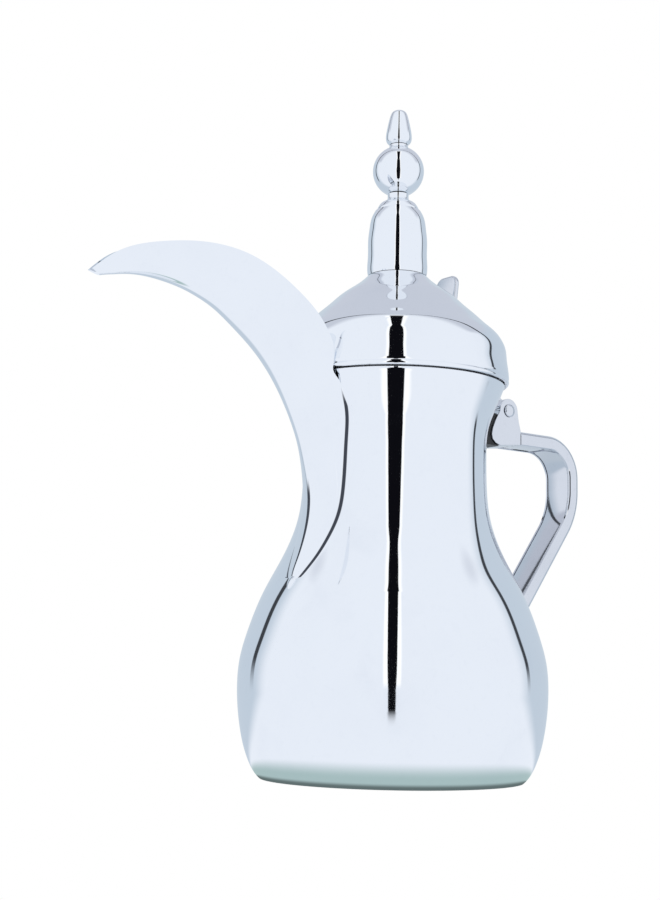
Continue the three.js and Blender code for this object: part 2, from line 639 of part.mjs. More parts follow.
function finialBall() {
  const start = Math.asin(BEAD_NECK_RADIUS / BALL_RADIUS);
  const count = 12;
  const side = [];
  for (let i = 0; i <= count; i += 1) {
    const angle = mix(start, Math.PI - start, i / count);
    side.push([BALL_RADIUS * Math.sin(angle), BALL_CENTRE - BALL_RADIUS * Math.cos(angle)]);
  }
  return bead([...side, [BEAD_NECK_RADIUS - 0.4, BALL_TOP]]);
}

function finialTip() {
  const shares = [[0.76, 0], [0.96, 0.09], [1, 0.18], [0.9, 0.45], [0.74, 0.7], [0.63, 0.85], [0.5, 0.94],
    [0.25, 0.99]];
  const side = shares.map(([radiusShare, heightShare]) => (
    [TIP_RADIUS * radiusShare, TIP_BOTTOM + heightShare * TIP_HEIGHT]
  ));
  const boreTop = STUD_TOP + FIT_GAP;
  const bore = [[0, boreTop], [BORE, boreTop], [BORE, TIP_BOTTOM]];
  return revolve([...side, [0, TIP_BOTTOM + TIP_HEIGHT], ...bore, side[0]], SMALL_SEGMENTS);
}

const STUD_BOTTOM = NUT_TOP - NUT_THICKNESS - 1;

const finialStud = () => revolve(
  [[0, STUD_BOTTOM], [STUD_RADIUS, STUD_BOTTOM], [STUD_RADIUS, STUD_TOP], [0, STUD_TOP]], STUD_SEGMENTS,
);

const finialWasher = () => (
  bead([[WASHER_RADIUS, WASHER_TOP - WASHER_THICKNESS], [WASHER_RADIUS, WASHER_TOP]])
);

const finialNut = () => revolve([[BORE, NUT_TOP - NUT_THICKNESS], [NUT_RADIUS, NUT_TOP - NUT_THICKNESS],
  [NUT_RADIUS, NUT_TOP], [BORE, NUT_TOP], [BORE, NUT_TOP - NUT_THICKNESS]], 6);

// ---- Assembly ----

const bodySolid = filled(BODY_OUTLINE, FIT_GAP, ROUND_SEGMENTS);
const rightHalf = spoutHalf().subtract(spoutKeepOut());

addPiece('body_shell', bodyShell(), polishedSteel());
addPiece('base_disc', baseDisc(), polishedSteel());
addPiece('spout_left_half', rightHalf, polishedSteel());
addPiece('spout_right_half', rightHalf.mirror([0, 1, 0]), polishedSteel());
addPiece('handle_outer_shell', handleOuterShell(bodySolid), polishedSteel());
addPiece('handle_inner_strip', handleInnerStrip(bodySolid), polishedSteel());
addPiece('handle_spacer', handleSpacer(bodySolid), blackPlastic());
addPiece('hinge_bracket', hingeBracket(), polishedSteel());
addPiece('bracket_screw', bracketScrew(), satinSteel());
addPiece('hinge_pin', hingePin(), polishedSteel());
addPiece('lid_shell', lidShell(), polishedSteel());
addPiece('lid_locating_ring', locatingRing(), satinSteel());
addPiece('lid_hinge_leaf', lidHingeLeaf(), polishedSteel());
addPiece('thumb_tab', thumbTab(), polishedSteel());
addPiece('finial_barrel', finialBarrel(), polishedSteel());
addPiece('finial_collar', finialCollar(), polishedSteel());
addPiece('finial_ball', finialBall(), polishedSteel());
addPiece('finial_tip', finialTip(), polishedSteel());
addPiece('finial_stud', finialStud(), satinSteel());
addPiece('finial_washer', finialWasher(), satinSteel());
addPiece('finial_nut', finialNut(), satinSteel());

export default pot;
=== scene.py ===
import json
import math

import bmesh
import bpy
import numpy as np
from mathutils import Matrix, Vector


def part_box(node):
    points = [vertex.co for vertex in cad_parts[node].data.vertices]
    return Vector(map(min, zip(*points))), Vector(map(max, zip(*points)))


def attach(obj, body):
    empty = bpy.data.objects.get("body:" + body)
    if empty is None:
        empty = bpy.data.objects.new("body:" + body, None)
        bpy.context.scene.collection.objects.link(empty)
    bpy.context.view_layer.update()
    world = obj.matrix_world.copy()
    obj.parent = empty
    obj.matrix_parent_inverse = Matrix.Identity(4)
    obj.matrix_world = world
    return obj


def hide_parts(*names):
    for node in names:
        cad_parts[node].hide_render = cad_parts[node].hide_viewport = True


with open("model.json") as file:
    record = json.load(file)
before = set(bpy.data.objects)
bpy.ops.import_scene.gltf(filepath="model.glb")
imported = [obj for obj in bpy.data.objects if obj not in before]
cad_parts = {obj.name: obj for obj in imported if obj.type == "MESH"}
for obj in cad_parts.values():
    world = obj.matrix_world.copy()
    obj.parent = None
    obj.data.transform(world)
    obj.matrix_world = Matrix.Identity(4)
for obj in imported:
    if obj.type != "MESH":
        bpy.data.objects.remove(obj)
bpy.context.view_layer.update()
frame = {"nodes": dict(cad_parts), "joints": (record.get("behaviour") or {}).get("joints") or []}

MM = 0.001
FULL_TURN = 2 * math.pi
TURNED_STEPS = 192          # steps round the body and the lid
BEAD_STEPS = 96             # steps round the finial beads
SHARP_ANGLE = math.radians(38)


# ---- Shared surface effects ----

def new_group(name, inputs, outputs):
    """An empty node group: a place and the named numbers go in, and the named numbers come out."""
    group = bpy.data.node_groups.new(name, "ShaderNodeTree")
    group.interface.new_socket("Place", in_out="INPUT", socket_type="NodeSocketVector")
    for label, default in inputs.items():
        socket = group.interface.new_socket(label, in_out="INPUT", socket_type="NodeSocketFloat")
        socket.default_value = default
    for label in outputs:
        group.interface.new_socket(label, in_out="OUTPUT", socket_type="NodeSocketFloat")
    entry = group.nodes.new("NodeGroupInput")
    leave = group.nodes.new("NodeGroupOutput")
    return group, entry.outputs, leave.inputs


class Wiring:
    """Short calls for adding linked nodes to one tree."""

    def __init__(self, tree):
        self.tree = tree

    def link(self, source, socket):
        if isinstance(source, (int, float, tuple)):
            socket.default_value = source
        else:
            self.tree.links.new(source, socket)

    def math(self, operation, first, second=None, third=None, clamp=False):
        node = self.tree.nodes.new("ShaderNodeMath")
        node.operation = operation
        node.use_clamp = clamp
        for index, source in enumerate((first, second, third)):
            if source is not None:
                self.link(source, node.inputs[index])
        return node.outputs[0]

    def ramp_range(self, value, low, high, to_low=0.0, to_high=1.0, smooth=True):
        """Goes from one number to another as the value goes from low to high."""
        node = self.tree.nodes.new("ShaderNodeMapRange")
        node.interpolation_type = "SMOOTHSTEP" if smooth else "LINEAR"
        for index, source in enumerate((value, low, high, to_low, to_high)):
            self.link(source, node.inputs[index])
        return node.outputs[0]

    def mix_colour(self, share, first, second):
        node = self.tree.nodes.new("ShaderNodeMix")
        node.data_type = "RGBA"
        self.link(share, node.inputs[0])
        self.link(first, node.inputs[6])
        self.link(second, node.inputs[7])
        return node.outputs[2]

    def noise(self, vector, scale, detail=3.0, roughness=0.55):
        node = self.tree.nodes.new("ShaderNodeTexNoise")
        self.link(vector, node.inputs["Vector"])
        self.link(scale, node.inputs["Scale"])
        node.inputs["Detail"].default_value = detail
        node.inputs["Roughness"].default_value = roughness
        return node.outputs[0]

    def stretched(self, vector, scale):
        node = self.tree.nodes.new("ShaderNodeMapping")
        self.link(vector, node.inputs["Vector"])
        node.inputs["Scale"].default_value = scale
        return node.outputs[0]

    def object_place(self):
        return self.tree.nodes.new("ShaderNodeTexCoord").outputs["Object"]

    def bump(self, height, strength, distance):
        node = self.tree.nodes.new("ShaderNodeBump")
        node.inputs["Strength"].default_value = strength
        node.inputs["Distance"].default_value = distance
        self.link(height, node.inputs["Height"])
        return node.outputs[0]

    def place(self, group, **values):
        node = self.tree.nodes.new("ShaderNodeGroup")
        node.node_tree = group
        for label, source in values.items():
            self.link(source, node.inputs[label.replace("_", " ")])
        return node.outputs


def buffing_group():
    """Fine buffing lines and faint haze left by the polishing wheel."""
    group, given, result = new_group(
        "Buffing marks",
        {
            "Line Scale": 900.0, "Haze Scale": 28.0, "Base Roughness": 0.03,
            "Haze Amount": 0.02, "Line Amount": 0.02,
        },
        ["Roughness", "Height", "Haze"],
    )
    wire = Wiring(group)
    lines_at = wire.stretched(given["Place"], (0.12, 0.12, 1.0))
    lines = wire.noise(lines_at, given["Line Scale"], 2.0, 0.6)
    haze = wire.noise(given["Place"], given["Haze Scale"], 4.0, 0.6)
    haze = wire.ramp_range(haze, 0.42, 0.72)
    lined = wire.math("MULTIPLY", lines, given["Line Amount"])
    hazed = wire.math("MULTIPLY_ADD", haze, given["Haze Amount"], lined)
    rough = wire.math("ADD", hazed, given["Base Roughness"])
    wire.link(rough, result["Roughness"])
    wire.link(lines, result["Height"])
    wire.link(haze, result["Haze"])
    return group


def handling_group():
    """Faint finger smudges and dried water marks, as a mask."""
    group, given, result = new_group(
        "Handling marks", {"Smudge Scale": 38.0, "Spot Scale": 260.0, "Amount": 1.0}, ["Mask"]
    )
    wire = Wiring(group)
    broad = wire.noise(given["Place"], given["Smudge Scale"], 3.0, 0.5)
    broad = wire.ramp_range(broad, 0.58, 0.74)
    fine = wire.noise(given["Place"], given["Spot Scale"], 2.0, 0.5)
    fine = wire.ramp_range(fine, 0.60, 0.72)
    both = wire.math("MULTIPLY_ADD", fine, 0.4, broad)
    wire.link(wire.math("MULTIPLY", both, given["Amount"], clamp=True), result["Mask"])
    return group


BUFFING = buffing_group()
HANDLING = handling_group()


def new_material(name):
    material = bpy.data.materials.new(name)
    material.use_nodes = True
    shader = material.node_tree.nodes["Principled BSDF"]
    return material, Wiring(material.node_tree), shader


SMUDGES = 0.55                # how strongly handled the steel looks
HAZE_TINTING = 0.35           # share of the haze that shows in the colour
BUFFING_BUMP = 0.35


def steel(name, tint, dull_tint, roughness, haze, lines, line_scale, bump_distance, shade_line_name=None):
    """Stainless steel: two close tints mottled together, buffing lines, haze and handling marks.

    With a shade line name, the mesh attribute of that name mixes in a near-black: painted shade lines, as
    along the spout's landing crease and keel.
    """
    material, wire, shader = new_material(name)
    place = wire.object_place()
    buffing = wire.place(
        BUFFING, Place=place, Line_Scale=line_scale, Base_Roughness=roughness,
        Haze_Amount=haze, Line_Amount=lines,
    )
    marks = wire.place(HANDLING, Place=place, Amount=SMUDGES)
    mottled = wire.math("MULTIPLY_ADD", buffing["Haze"], HAZE_TINTING, marks["Mask"], clamp=True)
    colour = wire.mix_colour(mottled, tint, dull_tint)
    if shade_line_name:
        attribute = wire.tree.nodes.new("ShaderNodeAttribute")
        attribute.attribute_name = shade_line_name
        line = wire.ramp_range(attribute.outputs["Fac"], 0.25, 0.85)
        colour = wire.mix_colour(line, colour, PAINTED_CREASE_SHADE)
    wire.link(colour, shader.inputs["Base Color"])
    rough = wire.math("MULTIPLY_ADD", marks["Mask"], haze, buffing["Roughness"])
    wire.link(rough, shader.inputs["Roughness"])
    wire.link(wire.bump(buffing["Height"], BUFFING_BUMP, bump_distance), shader.inputs["Normal"])
    shader.inputs["Metallic"].default_value = 1.0
    return material


POLISHED_TINT = (0.905, 0.925, 0.950, 1.0)
POLISHED_DULL = (0.865, 0.888, 0.920, 1.0)
CAST_TINT = (0.74, 0.76, 0.80, 1.0)
CAST_DULL = (0.64, 0.66, 0.70, 1.0)
SATIN_TINT = (0.62, 0.64, 0.67, 1.0)
SATIN_DULL = (0.52, 0.54, 0.57, 1.0)
# Painted shade: the near-black of the shade lines along the spout's landing crease and keel
PAINTED_CREASE_SHADE = (0.06, 0.065, 0.08, 1.0)
# Near-black of the spacer, painted shade for the gap at the handle's head; the second tint shows handling
# marks
GAP_SHADE_TINT = (0.010, 0.010, 0.011, 1.0)
GAP_SHADE_SMUDGED = (0.022, 0.022, 0.024, 1.0)

# Roughness, haze, lines, line scale and bump distance of a mirror polish
MIRROR = (0.022, 0.018, 0.012, 900.0, 0.000004)

POLISHED = steel("polished stainless steel", POLISHED_TINT, POLISHED_DULL, *MIRROR)
# Mirror-polished steel with painted shade lines, for the spout
SHADE_LINED = steel(
    "polished steel with painted shade lines", POLISHED_TINT, POLISHED_DULL, *MIRROR, shade_line_name="painted_shade_line"
)
CAST = steel("polished cast steel", CAST_TINT, CAST_DULL, 0.05, 0.03, 0.02, 700.0, 0.00001)
SATIN = steel("satin stainless steel", SATIN_TINT, SATIN_DULL, 0.26, 0.12, 0.12, 500.0, 0.00002)


def gap_shade_spacer_material():
    """Moulded black plastic spacer with a fine grain and faint grey handling marks; its black is painted
    shade for the dark gap between the bracket and the neck.
    """
    material, wire, shader = new_material("black spacer in painted gap shade")
    place = wire.object_place()
    grain = wire.noise(place, 1600.0, 3.0, 0.6)
    marks = wire.place(HANDLING, Place=place, Amount=0.7)
    wire.link(wire.mix_colour(marks["Mask"], GAP_SHADE_TINT, GAP_SHADE_SMUDGED), shader.inputs["Base Color"])
    wire.link(wire.ramp_range(grain, 0.3, 0.7, 0.38, 0.55), shader.inputs["Roughness"])
    wire.link(wire.bump(grain, 0.5, 0.00004), shader.inputs["Normal"])
    return material


GAP_SHADE_BLACK = gap_shade_spacer_material()


# ---- Shaping helpers ----

def part_way(value, low, high):
    """How far a value is from low to high, held between 0 and 1."""
    return min(max((value - low) / (high - low), 0.0), 1.0)


def faired(knots, spacing, passes=8):
    """A smooth line through (a, b, ...) knots: a natural cubic spline, evenly resampled, lightly faired."""
    points = np.array(knots, float)
    gaps = np.linalg.norm(np.diff(points, axis=0), axis=1)
    along = np.concatenate([[0.0], np.cumsum(gaps)])
    count = len(points)
    system = np.zeros((count, count))
    target = np.zeros_like(points)
    system[0, 0] = 1.0
    system[-1, -1] = 1.0
    for i in range(1, count - 1):
        system[i, i - 1] = gaps[i - 1]
        system[i, i] = 2 * (gaps[i - 1] + gaps[i])
        system[i, i + 1] = gaps[i]
        target[i] = 6 * ((points[i + 1] - points[i]) / gaps[i] - (points[i] - points[i - 1]) / gaps[i - 1])
    bend = np.linalg.solve(system, target)
    samples = max(int(round(along[-1] / spacing)), 2)
    line = []
    for place in np.linspace(0.0, along[-1], samples + 1):
        i = min(int(np.searchsorted(along, place, side="right")) - 1, count - 2)
        after = (place - along[i]) / gaps[i]
        before = 1 - after
        curve = (before ** 3 - before) * bend[i] + (after ** 3 - after) * bend[i + 1]
        line.append(before * points[i] + after * points[i + 1] + curve * gaps[i] ** 2 / 6)
    line = np.array(line)
    for _ in range(passes):
        line[1:-1] = 0.5 * line[1:-1] + 0.25 * (line[:-2] + line[2:])
    return line


def inset_line(line, distance):
    """The same (radius, height) line moved towards the axis side by a distance."""
    step = np.gradient(line, axis=0)
    step /= np.linalg.norm(step, axis=1)[:, None]
    return line + distance * np.stack([-step[:, 1], step[:, 0]], axis=1)


def arc(centre, radius, start, end, count):
    """Points of an arc in a (radius, height) outline, angles in degrees from outwards."""
    angles = np.radians(np.linspace(start, end, count + 1))
    return [(centre[0] + radius * math.cos(a), centre[1] + radius * math.sin(a)) for a in angles]


def chain(mesh, points, closed=False):
    """Vertices through 3-D points, and the edges that join them."""
    verts = [mesh.verts.new(point) for point in points]
    pairs = list(zip(verts, verts[1:]))
    if closed:
        pairs.append((verts[-1], verts[0]))
    return verts, [mesh.edges.new(pair) for pair in pairs]


def filled(points):
    """A new mesh with one face through the points, and the edges round it."""
    mesh = bmesh.new()
    edges = chain(mesh, points, closed=True)[1]
    bmesh.ops.edgeloop_fill(mesh, edges=edges)
    return mesh, edges


def verts_and_edges(items):
    """The vertices and the edges among an operator's results."""
    kinds = (bmesh.types.BMVert, bmesh.types.BMEdge)
    return [[item for item in items if isinstance(item, kind)] for kind in kinds]


def thickened(mesh, faces, move):
    """Pushes a copy of the faces out by a move, with sides joining it to where they were."""
    pushed = bmesh.ops.extrude_face_region(mesh, geom=faces)
    bmesh.ops.translate(mesh, verts=verts_and_edges(pushed["geom"])[0], vec=move)


def smoothed(data, angle=SHARP_ANGLE):
    """Shades a mesh smooth except at its corners."""
    data.shade_smooth()
    data.set_sharp_from_angle(angle=angle)


def finished(mesh, name, material):
    """A piece from a bmesh, smooth except at its corners."""
    data = bpy.data.meshes.new(name)
    mesh.to_mesh(data)
    mesh.free()
    data.materials.append(material)
    smoothed(data)
    piece = bpy.data.objects.new(name, data)
    bpy.context.scene.collection.objects.link(piece)
    return piece


def closed_up(mesh):
    """Merges doubled points and turns every face outwards."""
    bmesh.ops.remove_doubles(mesh, verts=mesh.verts, dist=0.002 * MM)
    bmesh.ops.recalc_face_normals(mesh, faces=mesh.faces)


def turned(name, outline, material, steps, closed=False, centre=(0, 0, 0), axis=(0, 0, 1)):
    """A piece turned on a lathe: the (radius, height) outline spun about an axis through the centre."""
    mesh = bmesh.new()
    middle = Vector(centre)
    along = Vector(axis)
    across = Vector((1, 0, 0))
    points = [middle + across * radius + along * height for radius, height in outline]
    verts, edges = chain(mesh, points, closed)
    bmesh.ops.spin(
        mesh, geom=verts + edges, cent=middle, axis=along, dvec=(0, 0, 0),
        angle=FULL_TURN, steps=steps, use_merge=True, use_duplicate=False,
    )
    closed_up(mesh)
    return finished(mesh, name, material)


def applied(piece):
    """Applies a piece's modifiers to its mesh."""
    bpy.context.view_layer.update()
    depsgraph = bpy.context.evaluated_depsgraph_get()
    made = bpy.data.meshes.new_from_object(piece.evaluated_get(depsgraph))
    piece.modifiers.clear()
    piece.data = made
    return piece


def cut(piece, cutter):
    """Takes the cutter's shape out of the piece and removes the cutter."""
    modifier = piece.modifiers.new("cut", "BOOLEAN")
    modifier.operation = "DIFFERENCE"
    modifier.solver = "EXACT"
    modifier.object = cutter
    applied(piece)
    bpy.data.objects.remove(cutter)
    return piece


def rounded(piece, width, segments):
    """Rounds a piece's corners."""
    modifier = piece.modifiers.new("rounding", "BEVEL")
    modifier.width = width
    modifier.segments = segments
    modifier.limit_method = "ANGLE"
    modifier.angle_limit = math.radians(35)
    modifier.profile = 0.5
    modifier.use_clamp_overlap = True
    applied(piece)
    smoothed(piece.data)
    return piece


def plate(name, outline, half_width):
    """A flat piece of cast steel: an (x, z) outline given a width across Y."""
    mesh = filled([Vector((x, -half_width, z)) for x, z in outline])[0]
    thickened(mesh, mesh.faces[:], (0, 2 * half_width, 0))
    closed_up(mesh)
    return finished(mesh, name, CAST)


def rod(name, start, along, radius, length, sides, material):
    """A plain rod used for boring holes."""
    mesh = bmesh.new()
    bmesh.ops.create_circle(mesh, cap_ends=True, segments=sides, radius=radius)
    turn = Vector((0, 0, 1)).rotation_difference(Vector(along)).to_matrix().to_4x4()
    bmesh.ops.transform(mesh, matrix=Matrix.Translation(start) @ turn, verts=mesh.verts)
    thickened(mesh, mesh.faces[:], Vector(along) * length)
    closed_up(mesh)
    return finished(mesh, name, material)


def fitted(piece, body, *nodes, slot="polished_steel"):
    """Hands a piece to its body and hides the CAD nodes it stands for. The slot is not used."""
    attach(piece, body)
    if nodes:
        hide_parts(*nodes)
    return piece


# ---- Sizes, from the frame ----

body_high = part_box("body_shell")[1]
lid_low, lid_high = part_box("lid_shell")
BELLY_RADIUS = body_high.x
BRIM_HEIGHT = body_high.z
LID_RADIUS = lid_high.x
LID_BOTTOM = lid_low.z
LID_HEIGHT = lid_high.z - lid_low.z
WALL = 1.0 * MM

# ---- Body ----

# Outer side of the body from the base up: (share of the belly radius, share of the brim height)
BODY_OUTLINE = [
    (0.8459, 0.0), (0.8859, 0.0151), (0.9044, 0.0303), (0.9353, 0.0591), (0.9584, 0.0899),
    (0.9861, 0.149), (1.0, 0.2365), (0.9872, 0.2961), (0.9472, 0.3557), (0.8321, 0.4721),
    (0.7481, 0.5334), (0.6701, 0.5989), (0.6221, 0.6625), (0.6049, 0.7245), (0.6001, 0.8154),
    (0.6025, 0.8615), (0.615, 0.8966), (0.6434, 0.9262), (0.6746, 0.9551), (0.7193, 1.0),
]
BODY_SIDE = faired([(r * BELLY_RADIUS, z * BRIM_HEIGHT) for r, z in BODY_OUTLINE], 1.3 * MM, 10)


def body_radius(height):
    """Outer radius of the body at a height."""
    return float(np.interp(height, BODY_SIDE[:, 1], BODY_SIDE[:, 0]))


FOOT_WIDTH = 1.1 * MM         # the ring the body stands on
FOOT_HEIGHT = 1.7 * MM
FOOT_CORNER = 0.15 * MM


def pot_body():
    """The body: a thin drawn shell with a rolled base corner and a rounded brim, satin inside."""
    rim = WALL / 2
    side = BODY_SIDE[(BODY_SIDE[:, 1] > 0.4 * MM) & (BODY_SIDE[:, 1] < BRIM_HEIGHT - 0.7 * MM)]
    inner = inset_line(side, WALL)
    inner = inner[inner[:, 1] > FOOT_HEIGHT + 0.2 * MM]
    brim_centre = (body_radius(BRIM_HEIGHT) - rim, BRIM_HEIGHT - rim)
    brim = arc(brim_centre, rim, 15, 165, 8)
    seam = BODY_SIDE[0][0]
    foot = [(seam - FOOT_WIDTH, FOOT_HEIGHT), (seam - FOOT_WIDTH, FOOT_CORNER),
            (seam - FOOT_WIDTH + FOOT_CORNER, 0.0), (seam - FOOT_CORNER, 0.0)]
    outline = foot + [tuple(p) for p in side] + brim + [tuple(p) for p in inner[::-1]]
    piece = turned("pot_body", outline, POLISHED, TURNED_STEPS, closed=True)
    piece.data.materials.append(SATIN)
    for face in piece.data.polygons:
        centre = face.center
        reach = math.hypot(centre.x, centre.y)
        if reach < body_radius(centre.z) - 0.6 * WALL and centre.z > 0.5 * MM:
            face.material_index = 1
    return piece


STRAINER_HOLE_RADIUS = 1.6 * MM
STRAINER_PITCH = 6 * MM
STRAINER_ROW_RISE = 7.5 * MM
STRAINER_ROWS = (3, 2)        # holes in a row, in turn from the bottom
STRAINER_BOTTOM = 103 * MM
STRAINER_MARGIN = 14 * MM
STRAINER_START = 1.2          # in belly radii, like the length below
STRAINER_CUT = 1.1


def bored_strainer(piece):
    """Strainer holes through the neck behind the spout, in staggered rows."""
    cutter_mesh = bmesh.new()
    turn = Matrix.Rotation(math.pi / 2, 4, "Y")
    height = STRAINER_BOTTOM
    in_row = STRAINER_ROWS[0]
    while height < BRIM_HEIGHT - STRAINER_MARGIN:
        for index in range(in_row):
            across = (index - (in_row - 1) / 2) * STRAINER_PITCH
            place = Matrix.Translation((-STRAINER_START * BELLY_RADIUS, across, height)) @ turn
            made = bmesh.ops.create_circle(
                cutter_mesh, cap_ends=True, segments=20, radius=STRAINER_HOLE_RADIUS, matrix=place
            )
            lids = {face for vert in made["verts"] for face in vert.link_faces}
            thickened(cutter_mesh, list(lids), (STRAINER_CUT * BELLY_RADIUS, 0, 0))
        height += STRAINER_ROW_RISE
        in_row = sum(STRAINER_ROWS) - in_row
    closed_up(cutter_mesh)
    return cut(piece, finished(cutter_mesh, "strainer_cutter", SATIN))


fitted(bored_strainer(pot_body()), "pot", "body_shell")

# ---- Spout ----

spout_low, spout_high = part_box("spout_left_half")
SPOUT_REACH = -spout_low.x - body_high.x * BODY_OUTLINE[-1][0]
SPOUT_RISE = spout_high.z - BRIM_HEIGHT
SPOUT_HALF_WIDTH = max(abs(spout_low.y), abs(spout_high.y))
SPOUT_FOOT = 79 / 171.7 * BRIM_HEIGHT
SPOUT_SINK = 0.7 * MM         # how far the spout's edge lies under the body's side
KEEL_EXTRA = 1.0 * MM         # the drawn keel stands this much further out than a plain oval
KEEL_FALL = 0.6               # how far each side falls away from the keel, as a share of the depth
KEEL_SOFTNESS = (0.16, 0.7)   # at the foot and along the beak
SHOULDER_POWER = 10           # how late and how sharply the side turns in to its edge
KEEL_FULL_DEPTH = 8 * MM      # a spout shallower than this stands out by less
FILLET = 2.6 * MM
FILLET_FULL_WIDTH = 5 * MM    # the fillet is narrower where the spout is
FILLET_BACK = 0.75            # share of the fillet that lies on the spout's own side
LID_GAP = 0.5 * MM
LID_CLEARING = 6.5 * MM       # the spout leaves the neck this far below the brim, for the lid
SPOUT_POINT = 3.5 * MM        # how far the foot's point runs down below the first full section

# Heights from the brim between which the keel softens, and the fillet and the painted shade lines come in
KEEL_SOFTENS = (-45 * MM, 10 * MM)
FILLET_FADE = (-6 * MM, -15 * MM)
SHADE_LINE_FADE = (-4 * MM, -16 * MM)
KEEL_SHADE_FADE = (-42 * MM, -54 * MM)

# Along the neck: (height share from foot to brim, keel stands proud, half width), the last two in mm
SPOUT_ROOT = [
    (0.0, -1.5, 3), (0.07, 1.1, 5.5), (0.13, 1.9, 8), (0.22, 2.8, 10.3), (0.32, 3.8, 12),
    (0.45, 5.4, 12.6), (0.57, 8.2, 12.8), (0.68, 11.3, 13.1), (0.78, 14.8, 13.9),
]
# Beyond it, shares of reach, rise and half width: (keel out, keel up, edge out, edge up, width)
SPOUT_BEAK = [
    (0.162, -0.085, -0.04, 0.0, 0.94), (0.275, 0.195, 0.06, 0.43, 1.0),
    (0.364, 0.352, 0.165, 0.655, 0.96), (0.445, 0.475, 0.29, 0.85, 0.86),
    (0.53, 0.56, 0.41, 0.965, 0.73), (0.635, 0.625, 0.56, 1.0, 0.57),
    (0.75, 0.655, 0.7, 0.96, 0.42), (0.84, 0.645, 0.825, 0.885, 0.27),
    (0.92, 0.605, 0.925, 0.76, 0.17), (0.965, 0.565, 1.0, 0.6, 0.1),
]


def spout_stations():
    """Rows of keel x, keel z, edge x, edge z and half width, evenly spaced along the spout."""
    rows = []
    for share, proud, half in SPOUT_ROOT:
        height = SPOUT_FOOT + share * (BRIM_HEIGHT - SPOUT_FOOT)
        radius = body_radius(height)
        half *= MM
        edge = SPOUT_SINK - math.sqrt(radius ** 2 - half ** 2)
        rows.append((-radius - proud * MM, height, edge, height, half))
    brim = body_radius(BRIM_HEIGHT)
    for keel_out, keel_up, edge_out, edge_up, width in SPOUT_BEAK:
        rows.append((
            -brim - keel_out * SPOUT_REACH, BRIM_HEIGHT + keel_up * SPOUT_RISE,
            -brim - edge_out * SPOUT_REACH, BRIM_HEIGHT + edge_up * SPOUT_RISE,
            width * SPOUT_HALF_WIDTH,
        ))
    return faired(rows, 1.6 * MM, 6)


def clear_radius(height):
    """How near the axis the spout may come: the body's side, and above the brim the lid's rim."""
    above = part_way(height, BRIM_HEIGHT - LID_CLEARING, BRIM_HEIGHT)
    above = above * above * (3 - 2 * above)
    lid_side = LID_RADIUS + LID_GAP
    return (1 - above) * body_radius(min(height, BRIM_HEIGHT)) + above * lid_side


ACROSS = 22                   # steps from the keel to the start of the fillet
FILLET_STEPS = 8
SECTION_SAMPLES = 160
SHADE_LINE_STEPS = (3, 4, 5)        # steps in from the edge that the painted shade line along the landing crease runs along


def half_section(row):
    """Points from the keel to the +Y side of the spout, ending in a fillet where it lands on the body."""
    keel_x, keel_z, edge_x, edge_z, half = row
    depth = math.hypot(keel_x - edge_x, keel_z - edge_z)
    grown = 1 + KEEL_EXTRA * min(depth / KEEL_FULL_DEPTH, 1.0) / depth
    wide = np.sin(np.linspace(0, math.pi / 2, SECTION_SAMPLES))
    up = part_way(keel_z - BRIM_HEIGHT, *KEEL_SOFTENS)
    softness = KEEL_SOFTNESS[0] + up * (KEEL_SOFTNESS[1] - KEEL_SOFTNESS[0])
    soft = (np.sqrt(wide ** 2 + softness ** 2) - softness) / (math.sqrt(1 + softness ** 2) - softness)
    near = grown * (1 - KEEL_FALL * soft) * np.sqrt(1 - wide ** SHOULDER_POWER)
    section = np.stack(
        [edge_x + (keel_x - edge_x) * near, half * wide, edge_z + (keel_z - edge_z) * near], axis=1
    )
    reach = np.hypot(section[:, 0], section[:, 1])
    room = reach - np.array([clear_radius(z) for z in section[:, 2]])
    inside = np.nonzero(room < 0)[0]
    if len(inside) and inside[0] > 0:
        i = inside[0]
        share = room[i - 1] / (room[i - 1] - room[i])
        landing = section[i - 1] + share * (section[i] - section[i - 1])
        section = np.vstack([section[:i], landing])
    elif len(inside):
        landing = np.array([-body_radius(keel_z), 0.0, keel_z])
        section = np.vstack([landing, landing + (0, 1e-6, 0)])
    landing = section[-1]
    gaps = np.linalg.norm(np.diff(section, axis=0), axis=1)
    along = np.concatenate([[0.0], np.cumsum(gaps)])
    fade = part_way(edge_z - BRIM_HEIGHT, *FILLET_FADE)
    run = FILLET * (0.45 + 0.55 * fade) * min(1.0, landing[1] / FILLET_FULL_WIDTH)
    turn_off = max(along[-1] - FILLET_BACK * run, 0.0)

    def at(distance):
        return np.array([np.interp(distance, along, section[:, k]) for k in range(3)])

    points = [at(distance) for distance in np.linspace(0, turn_off, ACROSS + 1)]
    spread = landing[1] + run
    far = np.array([-math.sqrt(max(body_radius(landing[2]) ** 2 - spread ** 2, 0.0)), spread, landing[2]])
    start = points[-1]
    for step in range(1, FILLET_STEPS + 1):
        share = step / FILLET_STEPS
        straight = at(turn_off + share * (along[-1] - turn_off))
        curved = (1 - share) ** 2 * start + 2 * share * (1 - share) * landing + share ** 2 * far
        points.append(fade * curved + (1 - fade) * straight)
    return np.array(points)


DROP_RISE = 3.2 * MM          # above the foot of the spout's line
DROP_SIZE = (0.9 * MM, 2.2 * MM, 3.4 * MM)
DROP_TAPER = 0.25


